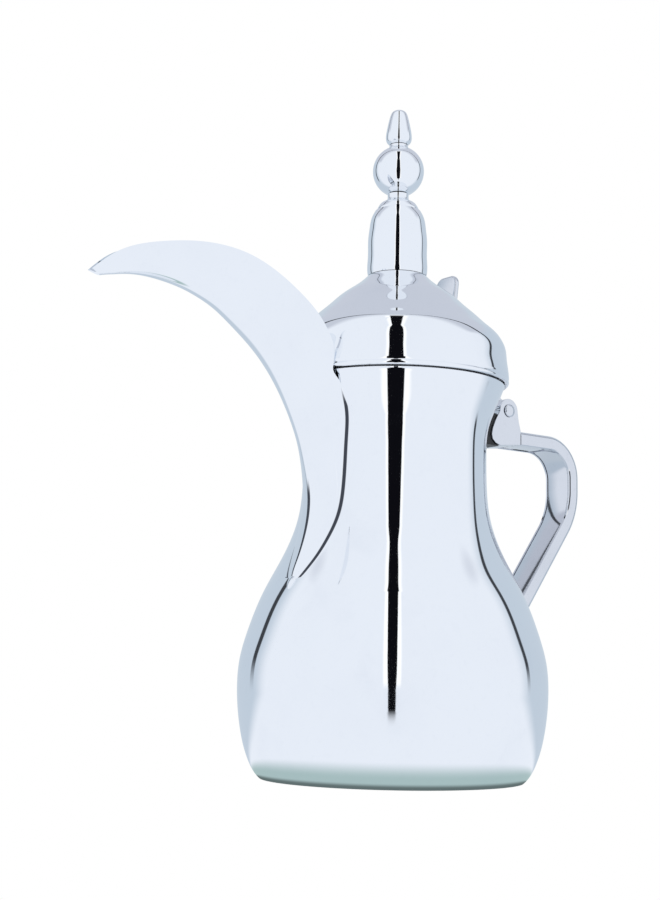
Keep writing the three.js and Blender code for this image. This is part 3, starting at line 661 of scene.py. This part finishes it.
def weld_drop():
    """The polished end of the weld below the spout's point: a drop lying on the body."""
    height = SPOUT_FOOT + DROP_RISE
    mesh = bmesh.new()
    bmesh.ops.create_icosphere(mesh, subdivisions=4, radius=1.0)
    near = 2 * MM
    slope = math.atan2(body_radius(height - near) - body_radius(height + near), 2 * near)
    lean = Matrix.Rotation(slope, 4, "Y")
    place = Matrix.Translation((-body_radius(height) - 0.1 * MM, 0, height))
    bmesh.ops.transform(mesh, matrix=place @ lean @ Matrix.Diagonal((*DROP_SIZE, 1.0)), verts=mesh.verts)
    for vert in mesh.verts:
        above = (vert.co.z - height) / DROP_SIZE[2]
        vert.co.y *= 1 + DROP_TAPER * above
    bmesh.ops.recalc_face_normals(mesh, faces=mesh.faces)
    return finished(mesh, "spout_weld_drop", POLISHED)


PROUD_ENOUGH = 0.35 * MM      # the sheet starts where the keel stands out this far
EDGE_THINNING = 0.15          # share of the wall left at the edge of the fillet
SPOUT_SHARP_ANGLE = math.radians(50)


def spout():
    """The spout: a beaked trough in one smooth sheet, with its weld polished out into the body."""
    rows = [row for row in spout_stations() if -row[0] - body_radius(row[1]) > PROUD_ENOUGH]
    halves = [half_section(row) for row in rows]
    point = halves[0][0] + (0.1 * MM, 0, -SPOUT_POINT)
    halves.insert(0, point + (halves[0] - halves[0][0]) * (0.02, 0.02, 0.02))
    across = 2 * (ACROSS + FILLET_STEPS) + 1
    mesh = bmesh.new()
    bmesh.ops.create_grid(mesh, x_segments=across - 1, y_segments=len(halves) - 1, size=1)
    mesh.verts.ensure_lookup_table()
    thin = mesh.verts.layers.deform.verify()
    line = mesh.verts.layers.float.new("painted_shade_line")
    for i, half in enumerate(halves):
        whole = [(x, -y, z) for x, y, z in half[:0:-1]] + [tuple(p) for p in half]
        rise = half[-1][2] - BRIM_HEIGHT
        on_body = rise < -3 * MM
        crease_shade = part_way(rise, *SHADE_LINE_FADE)
        keel_shade = part_way(rise, *KEEL_SHADE_FADE)
        for j, point in enumerate(whole):
            vert = mesh.verts[i * across + j]
            vert.co = point
            from_edge = min(j, across - 1 - j)
            # Painted shade: darker lines along the landing crease near each edge, and down the keel near
            # the foot
            if from_edge in SHADE_LINE_STEPS:
                vert[line] = crease_shade
            elif abs(j - across // 2) <= 1:
                vert[line] = keel_shade
            inward = min(from_edge / (1.5 * FILLET_STEPS), 1.0)
            vert[thin][0] = EDGE_THINNING + (1 - EDGE_THINNING) * inward if on_body else 1.0
    bmesh.ops.recalc_face_normals(mesh, faces=mesh.faces)
    mesh.faces.ensure_lookup_table()
    middle = mesh.faces[len(mesh.faces) // 2]
    if middle.normal.x > 0:
        bmesh.ops.reverse_faces(mesh, faces=mesh.faces)
    piece = finished(mesh, "spout", SHADE_LINED)
    piece.vertex_groups.new(name="wall")
    wall = piece.modifiers.new("wall", "SOLIDIFY")
    wall.thickness = WALL
    wall.offset = -1
    wall.vertex_group = "wall"
    applied(piece)
    smoothed(piece.data, SPOUT_SHARP_ANGLE)
    return piece


fitted(spout(), "pot", "spout_left_half", "spout_right_half")
fitted(weld_drop(), "pot")

# ---- Handle ----

handle_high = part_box("handle_outer_shell")[1]
bracket_low, bracket_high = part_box("hinge_bracket")
HANDLE_HALF_WIDTH = handle_high.y
HANDLE_HALF = 3.3 * MM
HANDLE_REACH = handle_high.x - HANDLE_HALF
ARM_HEIGHT = handle_high.z - HANDLE_HALF
ARM_START = bracket_high.x + 0.3 * MM
CORNER_RADIUS = 16 * MM
GRIP_LENGTH = 6 * MM
BEND_RADIUS = 32 * MM
LEG_ANGLE = math.radians(36)
LEG_LIMIT = 0.2
LONGEST_STEP = 0.25 * MM
TOUCHING = 0.02 * MM


def distance_to_body(point, direction):
    """How far a point travels along a direction before it meets the body."""
    travelled = 0.0
    while travelled < LEG_LIMIT:
        place = point + direction * travelled
        gap = math.hypot(place.x, place.y) - body_radius(max(place.z, 0.0))
        if gap < TOUCHING:
            break
        travelled += min(LONGEST_STEP, max(gap / 2, TOUCHING))
    return travelled


def handle_sweep(name, section, material):
    """A closed (outwards, across) section drawn along the arm, round the corner and bend, down the leg."""
    mesh, edges = filled([Vector((ARM_START, y, ARM_HEIGHT + out)) for out, y in section])

    def straight(edges, move):
        made = bmesh.ops.extrude_edge_only(mesh, edges=edges)["geom"]
        new_verts, new_edges = verts_and_edges(made)
        bmesh.ops.translate(mesh, verts=new_verts, vec=move)
        return new_verts, new_edges

    def turned_ring(verts, edges, centre, angle, steps):
        made = bmesh.ops.spin(
            mesh, geom=verts + edges, cent=centre, axis=(0, 1, 0), dvec=(0, 0, 0),
            angle=angle, steps=steps, use_merge=False, use_duplicate=False,
        )
        return verts_and_edges(made["geom_last"])

    corner_x = HANDLE_REACH - CORNER_RADIUS
    corner_z = ARM_HEIGHT - CORNER_RADIUS
    verts, edges = straight(edges, (corner_x - ARM_START, 0, 0))
    verts, edges = turned_ring(verts, edges, (corner_x, 0, corner_z), math.pi / 2, 28)
    verts, edges = straight(edges, (0, 0, -GRIP_LENGTH))
    bend_at = (HANDLE_REACH - BEND_RADIUS, 0, corner_z - GRIP_LENGTH)
    verts, edges = turned_ring(verts, edges, bend_at, LEG_ANGLE, 16)
    down = Vector((-math.sin(LEG_ANGLE), 0, -math.cos(LEG_ANGLE)))
    verts, edges = straight(edges, (0, 0, 0))
    for vert in verts:
        vert.co += down * distance_to_body(vert.co, down)
    bmesh.ops.edgeloop_fill(mesh, edges=edges)
    closed_up(mesh)
    return finished(mesh, name, material)


def rounded_corner(out, across, radius, start, count=6):
    """Quarter-round of an (outwards, across) section: the centre is given, angles run from outwards."""
    return arc((out, across), radius, start, start + 90, count)


def handle_shell():
    """The outer half of the handle: a trough with well-rounded outer corners."""
    half, wide, wall = HANDLE_HALF, HANDLE_HALF_WIDTH, 1.2 * MM
    soft = 2.4 * MM
    lip = 0.35 * MM
    outline = rounded_corner(half - soft, wide - soft, soft, 0)
    outline += [(lip - half, wide), (-half, wide - lip), (-half, wide - wall)]
    outline += [(half - wall, wide - wall), (half - wall, wall - wide)]
    outline += [(-half, wall - wide), (-half, lip - wide), (lip - half, -wide)]
    outline += rounded_corner(half - soft, soft - wide, soft, -90)
    return handle_sweep("handle_shell", outline, CAST)


def handle_strip():
    """The inner strip that closes the handle, set a little into the shell."""
    wide = HANDLE_HALF_WIDTH - 1.45 * MM
    face, back = 0.15 * MM - HANDLE_HALF, 1.3 * MM - HANDLE_HALF
    soft = 0.45 * MM
    outline = [(back, -wide), (back, wide)]
    outline += rounded_corner(face + soft, wide - soft, soft, 90, 3)
    outline += rounded_corner(face + soft, soft - wide, soft, 180, 3)
    return handle_sweep("handle_strip", outline, CAST)


fitted(handle_shell(), "pot", "handle_outer_shell")
fitted(handle_strip(), "pot", "handle_inner_strip")

# ---- Hinge: bracket, pin and the lid's leaf ----

HINGE = Vector(frame["joints"][0]["pos_m"])
CHEEK_RADIUS = 5.6 * MM
SLOT_HALF = HANDLE_HALF_WIDTH - 3.6 * MM
PIN_RADIUS = 2.0 * MM
PIN_STEPS = 48
PIN_BORE = PIN_RADIUS + 0.25 * MM
BORE_SIDES = 32
PAST_ALL = 0.02               # a length that clears the whole hinge
KNUCKLE_RADIUS = 4.5 * MM
ARM_BOTTOM = ARM_HEIGHT - HANDLE_HALF
ARM_TOP = ARM_HEIGHT + HANDLE_HALF


def bored_for_pin(piece, name):
    """Bores the pin's hole through a piece of the hinge."""
    start = Vector((HINGE.x, -PAST_ALL, HINGE.z))
    cut(piece, rod(name, start, (0, 1, 0), PIN_BORE, 2 * PAST_ALL, BORE_SIDES, CAST))


def hinge_bracket():
    """Cast bracket at the handle's head: a nose on the neck side and two cheeks for the pin."""
    front, back = bracket_low.x, bracket_high.x
    nose = [(2.6, -0.5), (0.6, 1.2), (0.0, 3.4), (0.7, 6.4), (2.6, 10.6)]
    outline = [(back, ARM_BOTTOM), (front + 5.6 * MM, bracket_low.z)]
    outline += [(front + out * MM, ARM_BOTTOM + up * MM) for out, up in nose]
    outline.append((HINGE.x - CHEEK_RADIUS, HINGE.z - 0.6 * MM))
    outline += arc((HINGE.x, HINGE.z), CHEEK_RADIUS, 180, 0, 18)
    outline += [(back - 1.2 * MM, ARM_TOP + 4 * MM), (back, ARM_TOP)]
    bracket = plate("hinge_bracket_cast", outline, HANDLE_HALF_WIDTH)
    floor = HINGE.z - KNUCKLE_RADIUS - 0.6 * MM
    left, right, top = HINGE.x - PAST_ALL, HINGE.x + PAST_ALL, floor + PAST_ALL
    room = [(left, floor), (right, floor), (right, top), (left, top)]
    cut(bracket, plate("hinge_room", room, SLOT_HALF))
    bored_for_pin(bracket, "pin_bore")
    return rounded(bracket, 1.5 * MM, 6)


def hinge_pin():
    """Pin with two domed heads."""
    half = HANDLE_HALF_WIDTH + 0.3 * MM
    head, crown = 3.0 * MM, 1.5 * MM
    dome = [(head, half), (head, half + 0.25 * MM), (0.93 * head, half + 0.6 * MM),
            (0.72 * head, half + 1.05 * MM), (0.4 * head, half + 0.93 * crown), (0, half + crown)]
    outline = [(r, -y) for r, y in dome[::-1]] + [(PIN_RADIUS, -half), (PIN_RADIUS, half)] + dome
    return turned("hinge_pin_turned", outline, CAST, PIN_STEPS, centre=HINGE, axis=(0, 1, 0))


def lid_leaf():
    """Leaf that lies on the lid's skirt and comes down between the cheeks to its knuckle."""
    plate_bottom = LID_BOTTOM + 3.5 * MM
    plate_x = LID_RADIUS + 2.4 * MM
    skin = LID_RADIUS - 0.1 * MM
    outline = [
        (skin - 0.9 * MM, plate_bottom + 11 * MM), (skin + 0.3 * MM, plate_bottom + 3 * MM),
        (skin + 0.35 * MM, plate_bottom - 1 * MM),
        (HINGE.x - KNUCKLE_RADIUS + 0.4 * MM, HINGE.z + 1 * MM),
    ]
    outline += arc((HINGE.x, HINGE.z), KNUCKLE_RADIUS, 190, 420, 26)
    outline += [(plate_x, plate_bottom + 3 * MM), (plate_x - 0.7 * MM, plate_bottom + 10.4 * MM)]
    leaf = plate("lid_leaf", outline, SLOT_HALF - 0.3 * MM)
    bored_for_pin(leaf, "leaf_bore")
    return rounded(leaf, 0.5 * MM, 3)


fitted(hinge_bracket(), "pot", "hinge_bracket")
fitted(hinge_pin(), "pot", "hinge_pin")
fitted(lid_leaf(), "lid", "lid_hinge_leaf")

# ---- Lid ----

# Outer side of the lid from above its hem to the top: (share of the lid radius, share of the lid height)
LID_OUTLINE = [
    (1.0005, 0.055), (0.998, 0.1), (0.98, 0.2343), (0.9681, 0.3333), (0.9505, 0.3733), (0.9083, 0.44),
    (0.8205, 0.52), (0.7222, 0.6133), (0.6168, 0.7067), (0.5184, 0.8), (0.3357, 0.9333), (0.2655, 1.0),
]
BORE = 2.3 * MM
LID_TOP = lid_high.z
LID_SIDE = faired([(r * LID_RADIUS, LID_BOTTOM + z * LID_HEIGHT) for r, z in LID_OUTLINE], 0.7 * MM, 6)


def lid_surface(radius):
    """Height of the lid's outer side at a distance from the axis."""
    return float(np.interp(-radius, -LID_SIDE[:, 0], LID_SIDE[:, 1]))


def lid():
    """The lid: a thin domed shell with a beaded hem."""
    bead = 1.05 * MM
    middle = (LID_RADIUS - bead, LID_BOTTOM + bead)
    hem = arc(middle, bead, -175, 42, 16)
    groove = [(LID_RADIUS - 0.42 * MM, LID_BOTTOM + 2.05 * MM)]
    inner = inset_line(LID_SIDE, WALL)
    inner = inner[(inner[:, 1] < LID_TOP - WALL) & (inner[:, 1] > LID_BOTTOM + 2.2 * MM)]
    top = [(BORE, LID_TOP), (BORE, LID_TOP - WALL)]
    outline = hem + groove + [tuple(p) for p in LID_SIDE] + top + [tuple(p) for p in inner[::-1]]
    return turned("lid_dome", outline, POLISHED, TURNED_STEPS, closed=True)


def locating_ring():
    """Ring pressed into the lid that drops into the neck."""
    low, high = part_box("lid_locating_ring")
    wall = 0.8 * MM
    throat = body_radius(low.z) - WALL - 2 * MM
    flange_top, flange_bottom = high.z, high.z - wall
    lip = 0.4 * MM
    outline = arc((throat - lip, low.z + lip), lip, -180, 0, 8)
    outline += [(throat, flange_bottom - 0.8 * MM)]
    outline += arc((throat + 0.8 * MM, flange_bottom - 0.8 * MM), 0.8 * MM, 180, 90, 5)[1:]
    outline += [(high.x, flange_bottom), (high.x, flange_top), (throat - wall, flange_top)]
    return turned("lid_ring", outline, SATIN, TURNED_STEPS, closed=True)


def thumb_tab():
    """Tab to open the lid with the thumb: a rounded plate leaning back from the finial."""
    low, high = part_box("thumb_tab")
    thick = 2.4 * MM
    foot = lid_surface(low.x + 3.4 * MM) - 1.0 * MM
    wide, top = high.y, high.z
    soft = 4.6 * MM
    side = [(-wide, foot), (wide, foot)]
    side += arc((wide - soft, top - soft), soft, 0, 80, 8)
    side += arc((soft - wide, top - soft), soft, 100, 180, 8)
    mesh = filled([Vector((low.x, y, z)) for y, z in side])[0]
    thickened(mesh, mesh.faces[:], (thick, 0, 0))
    lean = (high.x - low.x - thick) / (top - foot)
    shear = Matrix.Identity(4)
    shear[0][2] = lean
    shear[0][3] = -lean * foot
    bmesh.ops.transform(mesh, matrix=shear, verts=mesh.verts)
    closed_up(mesh)
    return rounded(finished(mesh, "thumb_tab_plate", CAST), 0.8 * MM, 4)


fitted(lid(), "lid", "lid_shell")
fitted(locating_ring(), "lid", "lid_locating_ring", slot="satin_steel")
fitted(thumb_tab(), "lid", "thumb_tab")

# ---- Finial ----

# Sides from the bottom up: (share of the node's radius, share of its height)
BARREL_SIDE = [(0.985, 0.0), (1.0, 0.03), (1.0, 0.3), (1.0, 0.56), (0.955, 0.745), (0.925, 0.84),
               (0.857, 0.934), (0.774, 1.0)]
COLLAR_SIDE = [(0.97, 0.0), (1.0, 0.05), (0.97, 0.15), (0.86, 0.38), (0.7, 0.52), (0.54, 0.62), (0.5, 0.8),
               (0.5, 1.0)]
TIP_SIDE = [(0.70, 0.0), (0.93, 0.08), (1.0, 0.2), (0.93, 0.42), (0.78, 0.68), (0.66, 0.84), (0.54, 0.93),
            (0.3, 0.985), (0.0, 1.0)]


def bead(name, node, shares, spacing=0.5 * MM, bored=True):
    """A turned bead of the finial, bored for the stud."""
    low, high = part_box(node)
    height = high.z - low.z
    knots = [(radius * high.x, low.z + share * height) for radius, share in shares]
    side = [tuple(point) for point in faired(knots, spacing, 3)]
    ends = [(BORE, high.z), (BORE, low.z)] if bored else [(0.0, low.z)]
    piece = turned(name, side + ends, POLISHED, BEAD_STEPS, closed=bored)
    return fitted(piece, "lid", node)


def ball_shares():
    """The ball as (radius, height) shares, between its two necks."""
    low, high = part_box("finial_ball")
    start = math.asin(4.6 * MM / high.x)
    centre = low.z + high.x * math.cos(start)
    shares = []
    for angle in np.linspace(start, math.pi - start, 25):
        shares.append((math.sin(angle), (centre - high.x * math.cos(angle) - low.z) / (high.z - low.z)))
    return shares + [(0.36, 1.0)]


bead("finial_barrel_turned", "finial_barrel", BARREL_SIDE)
bead("finial_collar_turned", "finial_collar", COLLAR_SIDE, 0.35 * MM)
bead("finial_ball_turned", "finial_ball", ball_shares(), 0.4 * MM)
bead("finial_tip_turned", "finial_tip", TIP_SIDE, 0.35 * MM, bored=False)

# ---- Camera, light and floor ----

VIEW_ANGLE = math.radians(40)        # from straight in front, towards the spout
CAMERA_DISTANCE = 0.662
CAMERA_HEIGHT = 0.049
CAMERA_YAW = -0.0435
CAMERA_PITCH = 0.1405
CAMERA_ROLL = 0.0185
CAMERA_LENS = 60.3


def studio_camera():
    """The camera, turned, tipped and rolled a little."""
    data = bpy.data.cameras.new("camera")
    data.lens = CAMERA_LENS
    data.sensor_width = 36.0
    data.clip_start = 0.01
    data.clip_end = 50.0
    camera = bpy.data.objects.new("camera", data)
    bpy.context.scene.collection.objects.link(camera)
    ahead = Vector((
        math.sin(CAMERA_YAW) * math.cos(CAMERA_PITCH),
        math.cos(CAMERA_YAW) * math.cos(CAMERA_PITCH),
        math.sin(CAMERA_PITCH),
    ))
    level = Vector((math.cos(CAMERA_YAW), -math.sin(CAMERA_YAW), 0))
    up = level.cross(ahead)
    right = math.cos(CAMERA_ROLL) * level + math.sin(CAMERA_ROLL) * up
    above = -math.sin(CAMERA_ROLL) * level + math.cos(CAMERA_ROLL) * up
    pose = Matrix((right, above, -ahead)).transposed().to_4x4()
    pose.translation = (0, -CAMERA_DISTANCE, CAMERA_HEIGHT)
    camera.matrix_world = Matrix.Rotation(-VIEW_ANGLE, 4, "Z") @ pose
    bpy.context.scene.camera = camera


studio_camera()

bpy.context.scene.view_settings.view_transform = "Standard"
bpy.context.scene.view_settings.look = "None"

WHITE = (1.0, 1.0, 1.0, 1.0)
TENT_FRONT = (0.875, 0.915, 0.985, 1.0)
TENT_HALO = (1.12, 1.12, 1.12, 1.0)
TENT_SIDE = (0.57, 0.65, 0.74, 1.0)
TENT_BACK = (0.62, 0.69, 0.76, 1.0)
TENT_ROOF = (0.60, 0.635, 0.72, 1.0)
TENT_SEAM = (0.05, 0.055, 0.065, 1.0)
SLOT_BLACK = (0.004, 0.004, 0.006, 1.0)
# Painted shadow on the floor round the base: near-black at the contact line, darker teal just outside it
FLOOR_CONTACT_SHADOW = (0.13, 0.17, 0.17, 1.0)
FLOOR_NEAR_SHADE = (0.42, 0.55, 0.55, 1.0)
TENT_RADIUS = 0.70
TENT_WALL = 0.62
TENT_BEND = 0.2
TENT_STEPS = 96
FLOOR_RADIUS = 3.0
FLOOR_DROP = 0.0002           # keeps the floor just under the base


def towards_camera(wire):
    """Object coordinates turned so that X points at the camera and Y to its right-hand side of the tent."""
    node = wire.tree.nodes.new("ShaderNodeMapping")
    wire.link(wire.object_place(), node.inputs["Vector"])
    node.inputs["Rotation"].default_value = (0, 0, VIEW_ANGLE + math.pi / 2)
    split = wire.tree.nodes.new("ShaderNodeSeparateXYZ")
    wire.link(node.outputs[0], split.inputs[0])
    return split.outputs


def glow_material(name, colour_of):
    """A lit cloth or floor: the colour is worked out from the place on it."""
    material = bpy.data.materials.new(name)
    material.use_nodes = True
    tree = material.node_tree
    tree.nodes.clear()
    wire = Wiring(tree)
    glow = tree.nodes.new("ShaderNodeEmission")
    wire.link(colour_of(wire), glow.inputs["Color"])
    out = tree.nodes.new("ShaderNodeOutputMaterial")
    tree.links.new(glow.outputs[0], out.inputs[0])
    return material


def stepped(wire, value, steps):
    """A value read off a table of (input, output) steps joined by straight lines."""
    result = steps[0][1]
    for (low, at_low), (high, at_high) in zip(steps, steps[1:]):
        rise = wire.ramp_range(value, low, high, 0.0, at_high - at_low, smooth=False)
        result = wire.math("ADD", result, rise)
    return result


def around_slot(wire, colour, side, half_width, open_share, halo_share):
    """Black where the slot is open, with a brighter edge of cloth beside it."""
    outside = wire.math("SUBTRACT", wire.math("ABSOLUTE", side), half_width)
    halo = wire.math("MULTIPLY", wire.ramp_range(outside, 0.02, 0.05, 1.0, 0.0), halo_share)
    colour = wire.mix_colour(halo, colour, TENT_HALO)
    slot = wire.math("MULTIPLY", wire.ramp_range(outside, -0.003, 0.003, 1.0, 0.0), open_share)
    return wire.mix_colour(slot, colour, SLOT_BLACK)


def cloth_colour(wire, ahead, side):
    """The way round from the camera in degrees, and the cloth's colour there."""
    degrees = wire.math("MULTIPLY", wire.math("ARCTAN2", side, ahead), 180 / math.pi)
    apart = wire.math("ABSOLUTE", degrees)
    colour = wire.mix_colour(wire.ramp_range(apart, 98.0, 118.0), TENT_FRONT, TENT_SIDE)
    return degrees, wire.mix_colour(wire.ramp_range(apart, 145.0, 175.0), colour, TENT_BACK)


# The slot's half width: (height, half width) up the tent, (distance ahead, half width) on the floor
WALL_SLOT = [
    (0.0, 0.108), (0.125, 0.108), (0.21, 0.105), (0.25, 0.0965), (0.273, 0.0925), (0.32, 0.090),
    (0.42, 0.0885), (0.70, 0.086), (0.76, 0.074), (0.80, 0.059), (0.82, 0.053), (0.90, 0.051),
]
FLOOR_SLOT = [
    (0.15, 0.005), (0.215, 0.009), (0.24, 0.013), (0.262, 0.043), (0.30, 0.048), (0.33, 0.0523),
    (0.353, 0.0566), (0.70, 0.108),
]
# Seams in the cloth: degrees round from the camera and half width in degrees
TENT_SEAMS = [(113.0, 1.4), (-120.0, 2.2)]
SEAM_SOFTNESS = 1.4


def tent_colour(wire):
    """Cloth, darker overhead behind, with its seams and the slot."""
    ahead, side, height = towards_camera(wire)
    degrees, colour = cloth_colour(wire, ahead, side)
    overhead = wire.math(
        "MULTIPLY", wire.ramp_range(height, 0.6, 0.75), wire.ramp_range(ahead, -0.10, 0.10, 1.0, 0.0)
    )
    colour = wire.mix_colour(overhead, colour, TENT_ROOF)
    above_floor = wire.ramp_range(height, 0.0, 0.16)
    for middle, half in TENT_SEAMS:
        off = wire.math("ABSOLUTE", wire.math("SUBTRACT", degrees, middle))
        seam = wire.ramp_range(off, half, half + SEAM_SOFTNESS, 1.0, 0.0)
        seam = wire.math("MULTIPLY", seam, above_floor)
        colour = wire.mix_colour(seam, colour, TENT_SEAM)
    half_width = stepped(wire, height, WALL_SLOT)
    in_front = wire.ramp_range(ahead, 0.02, 0.10)
    return around_slot(wire, colour, side, half_width, in_front, in_front)


def floor_colour(wire):
    """Cloth with a shaded ring round the base; plain white where the camera sees it."""
    ahead, side = towards_camera(wire)[:2]
    squares = [wire.math("POWER", way, 2.0) for way in (ahead, side)]
    reach = wire.math("SQRT", wire.math("ADD", *squares))
    colour = cloth_colour(wire, ahead, side)[1]
    # Painted shadow round the base: a darker ring, near-black at the contact line
    colour = wire.mix_colour(wire.ramp_range(reach, 0.0625, 0.077), FLOOR_NEAR_SHADE, colour)
    colour = wire.mix_colour(wire.ramp_range(reach, 0.0575, 0.0600), FLOOR_CONTACT_SHADOW, colour)
    half_width = stepped(wire, ahead, FLOOR_SLOT)
    strip = wire.math(
        "MULTIPLY", wire.ramp_range(ahead, 0.14, 0.24), wire.ramp_range(ahead, 0.70, 0.72, 1.0, 0.0)
    )
    beyond_cards = wire.math("MULTIPLY", strip, wire.ramp_range(ahead, 0.25, 0.27))
    colour = around_slot(wire, colour, side, half_width, strip, beyond_cards)
    looked_at = wire.tree.nodes.new("ShaderNodeLightPath").outputs["Is Camera Ray"]
    return wire.mix_colour(looked_at, colour, WHITE)


def card_colour(wire):
    """Cloth colour, brighter along the gap between the two cards except near the floor."""
    place = towards_camera(wire)
    spread = wire.math("DIVIDE", wire.math("ABSOLUTE", place[1]), place[0])
    halo = wire.math(
        "MULTIPLY", wire.ramp_range(spread, 0.078, 0.10, 1.0, 0.0), wire.ramp_range(place[2], 0.036, 0.050)
    )
    return wire.mix_colour(halo, TENT_FRONT, TENT_HALO)


# Two pale cards low in front narrow the slot for the belly. From the top down:
# (distance ahead, height, half width of their gap, how far out they reach)
CARD_ROWS = [
    (0.0875, 0.1158, 0.0050, 0.042), (0.0926, 0.1123, 0.0051, 0.042), (0.1007, 0.1067, 0.0053, 0.042),
    (0.1082, 0.1015, 0.0055, 0.042), (0.1261, 0.0892, 0.0060, 0.045), (0.1455, 0.0759, 0.0069, 0.050),
    (0.1708, 0.0584, 0.0077, 0.055), (0.1872, 0.0471, 0.0080, 0.060), (0.1983, 0.0395, 0.0080, 0.065),
    (0.2042, 0.0354, 0.0080, 0.070), (0.2104, 0.0311, 0.0086, 0.100), (0.2150, 0.0000, 0.0084, 0.100),
]
# A card beside the spout, between it and the slot: y, then its ends in x and in z
SPOUT_CARD = (-0.045, (-0.175, -0.058), (0.05, 0.40))


def hidden_stage(card):
    """Staging that only reflections show."""
    card.visible_camera = False
    card.visible_shadow = False
    card.visible_diffuse = False


def slot_cards():
    """The two cards with a gap between them, and the one beside the spout."""
    material = glow_material("pale card", card_colour)
    turn = Matrix.Rotation(-VIEW_ANGLE - math.pi / 2, 4, "Z")
    for label, hand in (("left", -1), ("right", 1)):
        mesh = bmesh.new()
        bmesh.ops.create_grid(mesh, x_segments=1, y_segments=len(CARD_ROWS) - 1, size=1)
        mesh.verts.ensure_lookup_table()
        for index, (ahead, height, gap, reach) in enumerate(CARD_ROWS):
            mesh.verts[2 * index].co = (ahead, hand * gap, height)
            mesh.verts[2 * index + 1].co = (ahead, hand * reach, height)
        bmesh.ops.transform(mesh, matrix=turn, verts=mesh.verts)
        hidden_stage(finished(mesh, "slot_card_" + label, material))
    y, (left, right), (low, high) = SPOUT_CARD
    corners = [(left, y, low), (right, y, low), (right, y, high), (left, y, high)]
    plain = glow_material("plain card", lambda wire: TENT_FRONT)
    hidden_stage(finished(filled(corners)[0], "spout_card", plain))


def light_tent():
    """A round cloth tent with a slot at the camera, seen only in reflections."""
    wall = [(TENT_RADIUS, -0.01), (TENT_RADIUS, TENT_WALL)]
    bend = arc((TENT_RADIUS - TENT_BEND, TENT_WALL), TENT_BEND, 0, 90, 12)
    roof = [(0.35, TENT_WALL + 0.24), (0.2, TENT_WALL + 0.27), (0.0, TENT_WALL + 0.29)]
    tent = turned("light_tent", wall + bend + roof, glow_material("tent cloth", tent_colour), TENT_STEPS)
    tent.visible_camera = False
    tent.visible_shadow = False


def pale_floor():
    """The floor under everything."""
    mesh = bmesh.new()
    bmesh.ops.create_circle(mesh, cap_ends=True, segments=64, radius=FLOOR_RADIUS)
    bmesh.ops.translate(mesh, verts=mesh.verts, vec=(0, 0, -FLOOR_DROP))
    floor = finished(mesh, "pale_floor", glow_material("pale floor", floor_colour))


light_tent()
pale_floor()
slot_cards()

world = bpy.data.worlds.new("white surround")
world.use_nodes = True
world.node_tree.nodes["Background"].inputs["Color"].default_value = WHITE
bpy.context.scene.world = world

# ---- Every CAD node that still shows ----

CARRIED = {
    "bracket_screw": SATIN, "finial_stud": SATIN, "finial_washer": SATIN, "finial_nut": SATIN,
    # The spacer's black is painted shade for the gap between the bracket and the neck
    "handle_spacer": GAP_SHADE_BLACK,
}
for node_name, node in frame["nodes"].items():
    node.data.materials.clear()
    node.data.materials.append(CARRIED.get(node_name, POLISHED))
